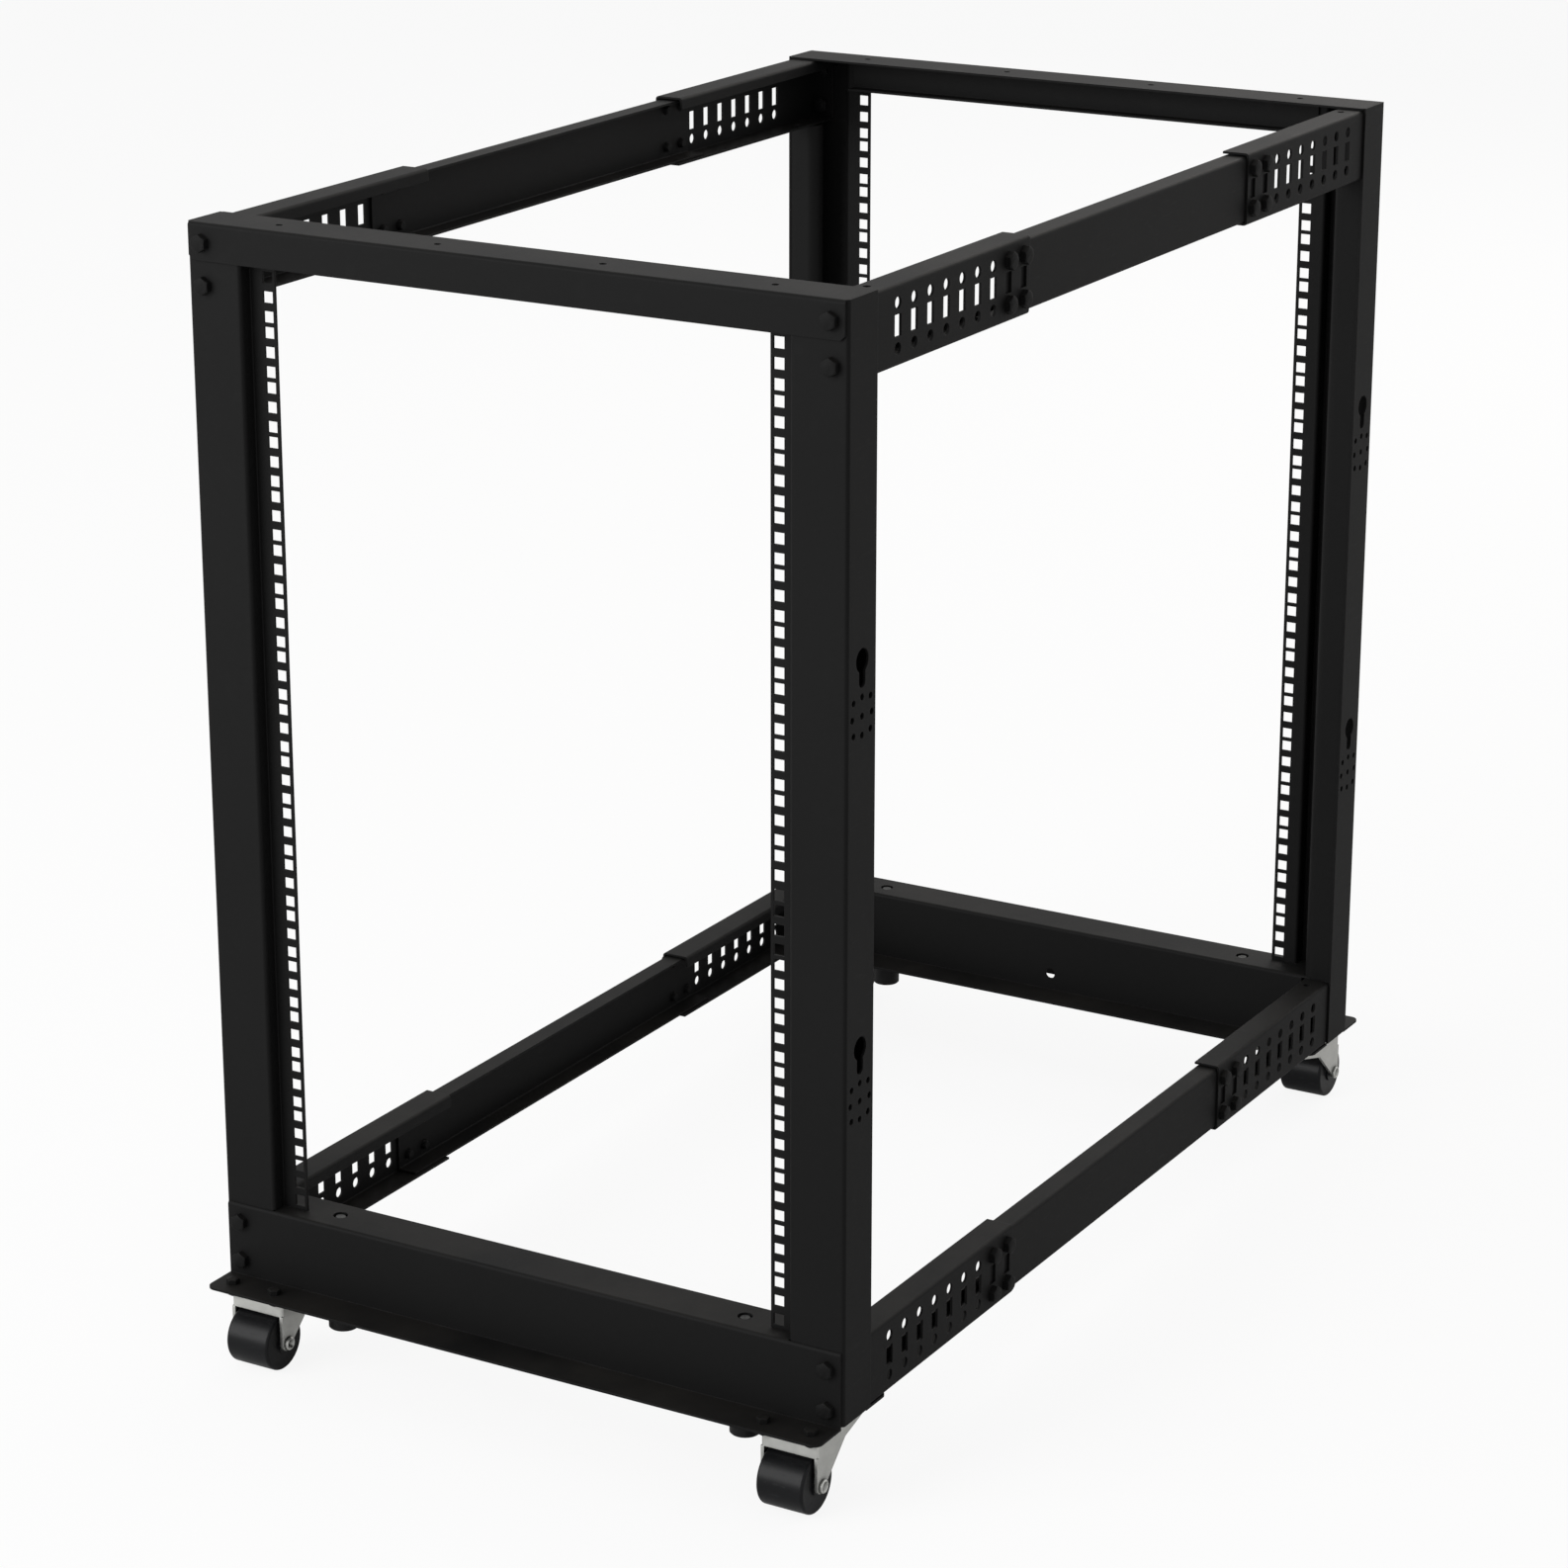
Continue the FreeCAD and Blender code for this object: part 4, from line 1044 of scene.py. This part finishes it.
@dataclass
class FoldedEdges:
    """The folds that stiffen the posts and the headers on their inner sides."""

    sheet: float = 2.0 * MM
    post_return: float = 29.5 * MM
    post_lip: float = 14.0 * MM
    post_bend: float = 10.0 * MM
    post_recess: float = 0.4 * MM
    sleeve_gap: float = 1.0 * MM
    header_half: float = 242.3 * MM
    header_ledge: float = 14.0 * MM
    header_bend: float = 2.5 * MM
    recess: float = 13.4 * MM
    lip_height: float = 10.5 * MM
    rim: float = 2.0 * MM
    rim_sunk: float = 0.6 * MM
    rim_edge: float = 0.4 * MM

    def build(self, wardrobe: Wardrobe) -> int:
        """Make every folded edge.

        Args:
            wardrobe: Gives the finish.

        Returns:
            How many strips were placed.
        """
        strips = [*self.post_returns(), *self.header_ledges(), *self.lip_rims()]
        for strip in strips:
            wardrobe.dress(strip, Slot.POWDER, FRAME_BODY)
        return len(strips)

    def post_returns(self) -> list[bpy.types.Object]:
        """Turn each post's side plate inwards behind its keyholes, between the two sleeves."""
        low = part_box("bottom_sleeve_front_right")[1].z + self.sleeve_gap
        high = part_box("top_sleeve_front_right")[0].z - self.sleeve_gap
        pattern = FoldedStrip("post_return", self.post_return - self.sheet, self.post_lip,
                              high - low, self.post_bend, self.sheet).model()
        strips = []
        for corner, across, along in corners():
            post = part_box("post_" + corner)
            outer = post[1].x if across > 0 else post[0].x
            back = post[1].y if along < 0 else post[0].y
            turn = Matrix(((-across, 0, 0), (0, -along, 0), (0, 0, 1)))
            start = Vector((outer - across * self.sheet, back + along * self.post_recess, low))
            place = Matrix.Translation(start) @ turn.to_4x4()
            strips.append(copy_to(pattern, f"post_return_{corner}", place))
        discard(pattern)
        return strips

    def header_ledges(self) -> list[bpy.types.Object]:
        """Stand a ledged strip under each header against the hole flanges of its two posts."""
        strips = []
        for depth, along in DEPTHS:
            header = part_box("header_" + depth)
            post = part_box(f"post_{depth}_right")
            face = post[0].y if along < 0 else post[1].y
            seat = face - along * (self.recess + self.sheet)
            pattern = FoldedStrip("header_ledge", self.header_ledge,
                                  header[1].z - header[0].z - self.sheet,
                                  2 * self.header_half, self.header_bend, self.sheet).model()
            turn = Matrix(((0, 0, 1), (along, 0, 0), (0, -1, 0)))
            start = Vector((-self.header_half, seat - along * self.header_ledge, header[0].z))
            place = Matrix.Translation(start) @ turn.to_4x4()
            strips.append(copy_to(pattern, f"header_ledge_{depth}", place))
            discard(pattern)
        return strips

    def lip_rims(self) -> list[bpy.types.Object]:
        """Raise the lips of the two bottom right sleeves a little, by a rim on top of each."""
        rims = []
        for depth, along in DEPTHS:
            sleeve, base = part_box(f"bottom_sleeve_{depth}_right"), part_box("base_" + depth)
            near = base[1].y + self.sleeve_gap if along < 0 else sleeve[0].y
            far = sleeve[1].y if along < 0 else base[0].y - self.sleeve_gap
            crest = sleeve[0].z + self.lip_height
            low = Vector((sleeve[0].x, near, crest - self.rim_sunk))
            high = Vector((sleeve[0].x + self.sheet, far, crest + self.rim))
            rims.append(add_block(f"sleeve_lip_rim_{depth}_right", low, high, self.rim_edge))
        return rims


# ------------------------------ studio
@dataclass(frozen=True)
class Lamp:
    """A square soft lamp, and whether it shows in gloss as well as lighting matte faces."""

    name: str
    place: tuple[float, float, float]
    size: float
    watts: float
    color: tuple[float, float, float]
    shines: bool

    def hang(self, aim: Vector) -> None:
        """Hang the lamp.

        Args:
            aim: The point that it looks at.
        """
        lamp = bpy.data.lights.new(self.name, "AREA")
        lamp.shape = "SQUARE"
        lamp.size = self.size
        lamp.energy = self.watts
        lamp.color = self.color
        holder = bpy.data.objects.new(self.name, lamp)
        holder.visible_glossy = self.shines
        bpy.context.scene.collection.objects.link(holder)
        turn = (aim - Vector(self.place)).to_track_quat("-Z", "Y")
        holder.matrix_world = Matrix.Translation(self.place) @ turn.to_matrix().to_4x4()


@dataclass
class Studio:
    """Floor, sky, lamps and camera."""

    lamps: tuple[Lamp, ...] = (
        Lamp("key", place=(-2.4, -4.4, 2.2), size=3.6, watts=215.0, color=(1.0, 1.0, 1.0), shines=True),
        Lamp("fill", place=(4.6, -1.6, 2.6), size=3.2, watts=15.0, color=(1.0, 1.0, 1.0), shines=False),
        Lamp("back", place=(0.2, 4.6, 3.0), size=3.0, watts=70.0, color=(1.0, 0.95, 0.9), shines=True),
    )
    aim: tuple[float, float, float] = (0.0, 0.0, 0.5)
    floor_half: float = 9.0
    floor_drop: float = 0.5 * MM
    floor_color: tuple[float, float, float, float] = (0.82, 0.82, 0.82, 1.0)
    floor_glow: float = 0.88
    white: float = 1.0
    sky: float = 0.62
    sight: float = 50.0
    lens: float = 102.27
    sensor: float = 36.0
    shift: tuple[float, float] = (0.00784, -0.01354)
    camera_place: tuple[float, float, float] = (1.8474, -3.2599, 1.6517)
    camera_right: tuple[float, float, float] = (0.863753749, 0.503913846, -0.000545)
    camera_down: tuple[float, float, float] = (0.154981825, -0.266681812, -0.951242054)
    camera_ahead: tuple[float, float, float] = (-0.479489411, 0.821554409, -0.308444902)

    def build(self) -> None:
        """Set up the whole studio."""
        self.lay_floor()
        self.light_sky()
        for lamp in self.lamps:
            lamp.hang(Vector(self.aim))
        self.place_camera()
        bpy.context.scene.view_settings.view_transform = "Standard"

    @staticmethod
    def seen_plainly(board: Board) -> bpy.types.NodeSocket:
        """Mask of the rays that see the white backdrop."""
        path = board.add("ShaderNodeLightPath")
        seen = board.maths("MAXIMUM", path.outputs["Is Camera Ray"], path.outputs["Is Glossy Ray"])
        return board.maths("MAXIMUM", seen, path.outputs["Is Transmission Ray"])

    def lay_floor(self) -> None:
        """Lay a pale floor that keeps the rack's shadow."""
        clear_selection()
        bpy.ops.mesh.primitive_plane_add(size=2 * self.floor_half, location=(0, 0, -self.floor_drop))
        floor = bpy.context.object
        floor.name = "studio_floor"
        bpy.ops.object.transform_apply(location=True, rotation=True, scale=True)
        material = bpy.data.materials.new("studio_floor")
        board = blank_board(material)
        matte = board.add("ShaderNodeBsdfDiffuse")
        matte.inputs["Color"].default_value = self.floor_color
        glow = board.add("ShaderNodeEmission")
        glow.inputs["Strength"].default_value = self.white
        seen = board.add("ShaderNodeLightPath").outputs["Is Camera Ray"]
        share = board.maths("MULTIPLY", seen, self.floor_glow)
        output = board.add("ShaderNodeOutputMaterial")
        board.wire(board.overlay(share, matte.outputs[0], glow.outputs[0]), output.inputs["Surface"])
        floor.data.materials.append(material)

    def light_sky(self) -> None:
        """Light the rack evenly from a pale sky that shows white."""
        world = bpy.data.worlds.new("studio_sky")
        bpy.context.scene.world = world
        board = blank_board(world)
        skies = []
        for strength in (self.sky, self.white):
            sky = board.add("ShaderNodeBackground")
            sky.inputs["Color"].default_value = (1, 1, 1, 1)
            sky.inputs["Strength"].default_value = strength
            skies.append(sky.outputs[0])
        output = board.add("ShaderNodeOutputWorld")
        board.wire(board.overlay(self.seen_plainly(board), *skies), output.inputs["Surface"])

    def place_camera(self) -> None:
        """Stand the camera where the rack is looked at."""
        data = bpy.data.cameras.new("camera")
        data.sensor_width = self.sensor
        data.lens = self.lens
        data.shift_x, data.shift_y = self.shift
        data.clip_end = self.sight
        camera = bpy.data.objects.new("camera", data)
        bpy.context.scene.collection.objects.link(camera)
        axes = Matrix((self.camera_right, [-value for value in self.camera_down],
                       [-value for value in self.camera_ahead])).transposed()
        camera.matrix_world = Matrix.Translation(self.camera_place) @ axes.to_4x4()
        bpy.context.scene.camera = camera


def main() -> None:
    """Dress the rack, add its fasteners and set up the studio."""
    logging.basicConfig(level=logging.INFO, format="%(name)s: %(message)s")
    wardrobe = Wardrobe()
    wardrobe.dress_nodes()
    count = Fasteners().build(wardrobe)
    log.info("%d bolts placed", count)
    count = FoldedEdges().build(wardrobe)
    log.info("%d folded strips placed", count)
    Studio().build()


if __name__ == "__main__":
    main()
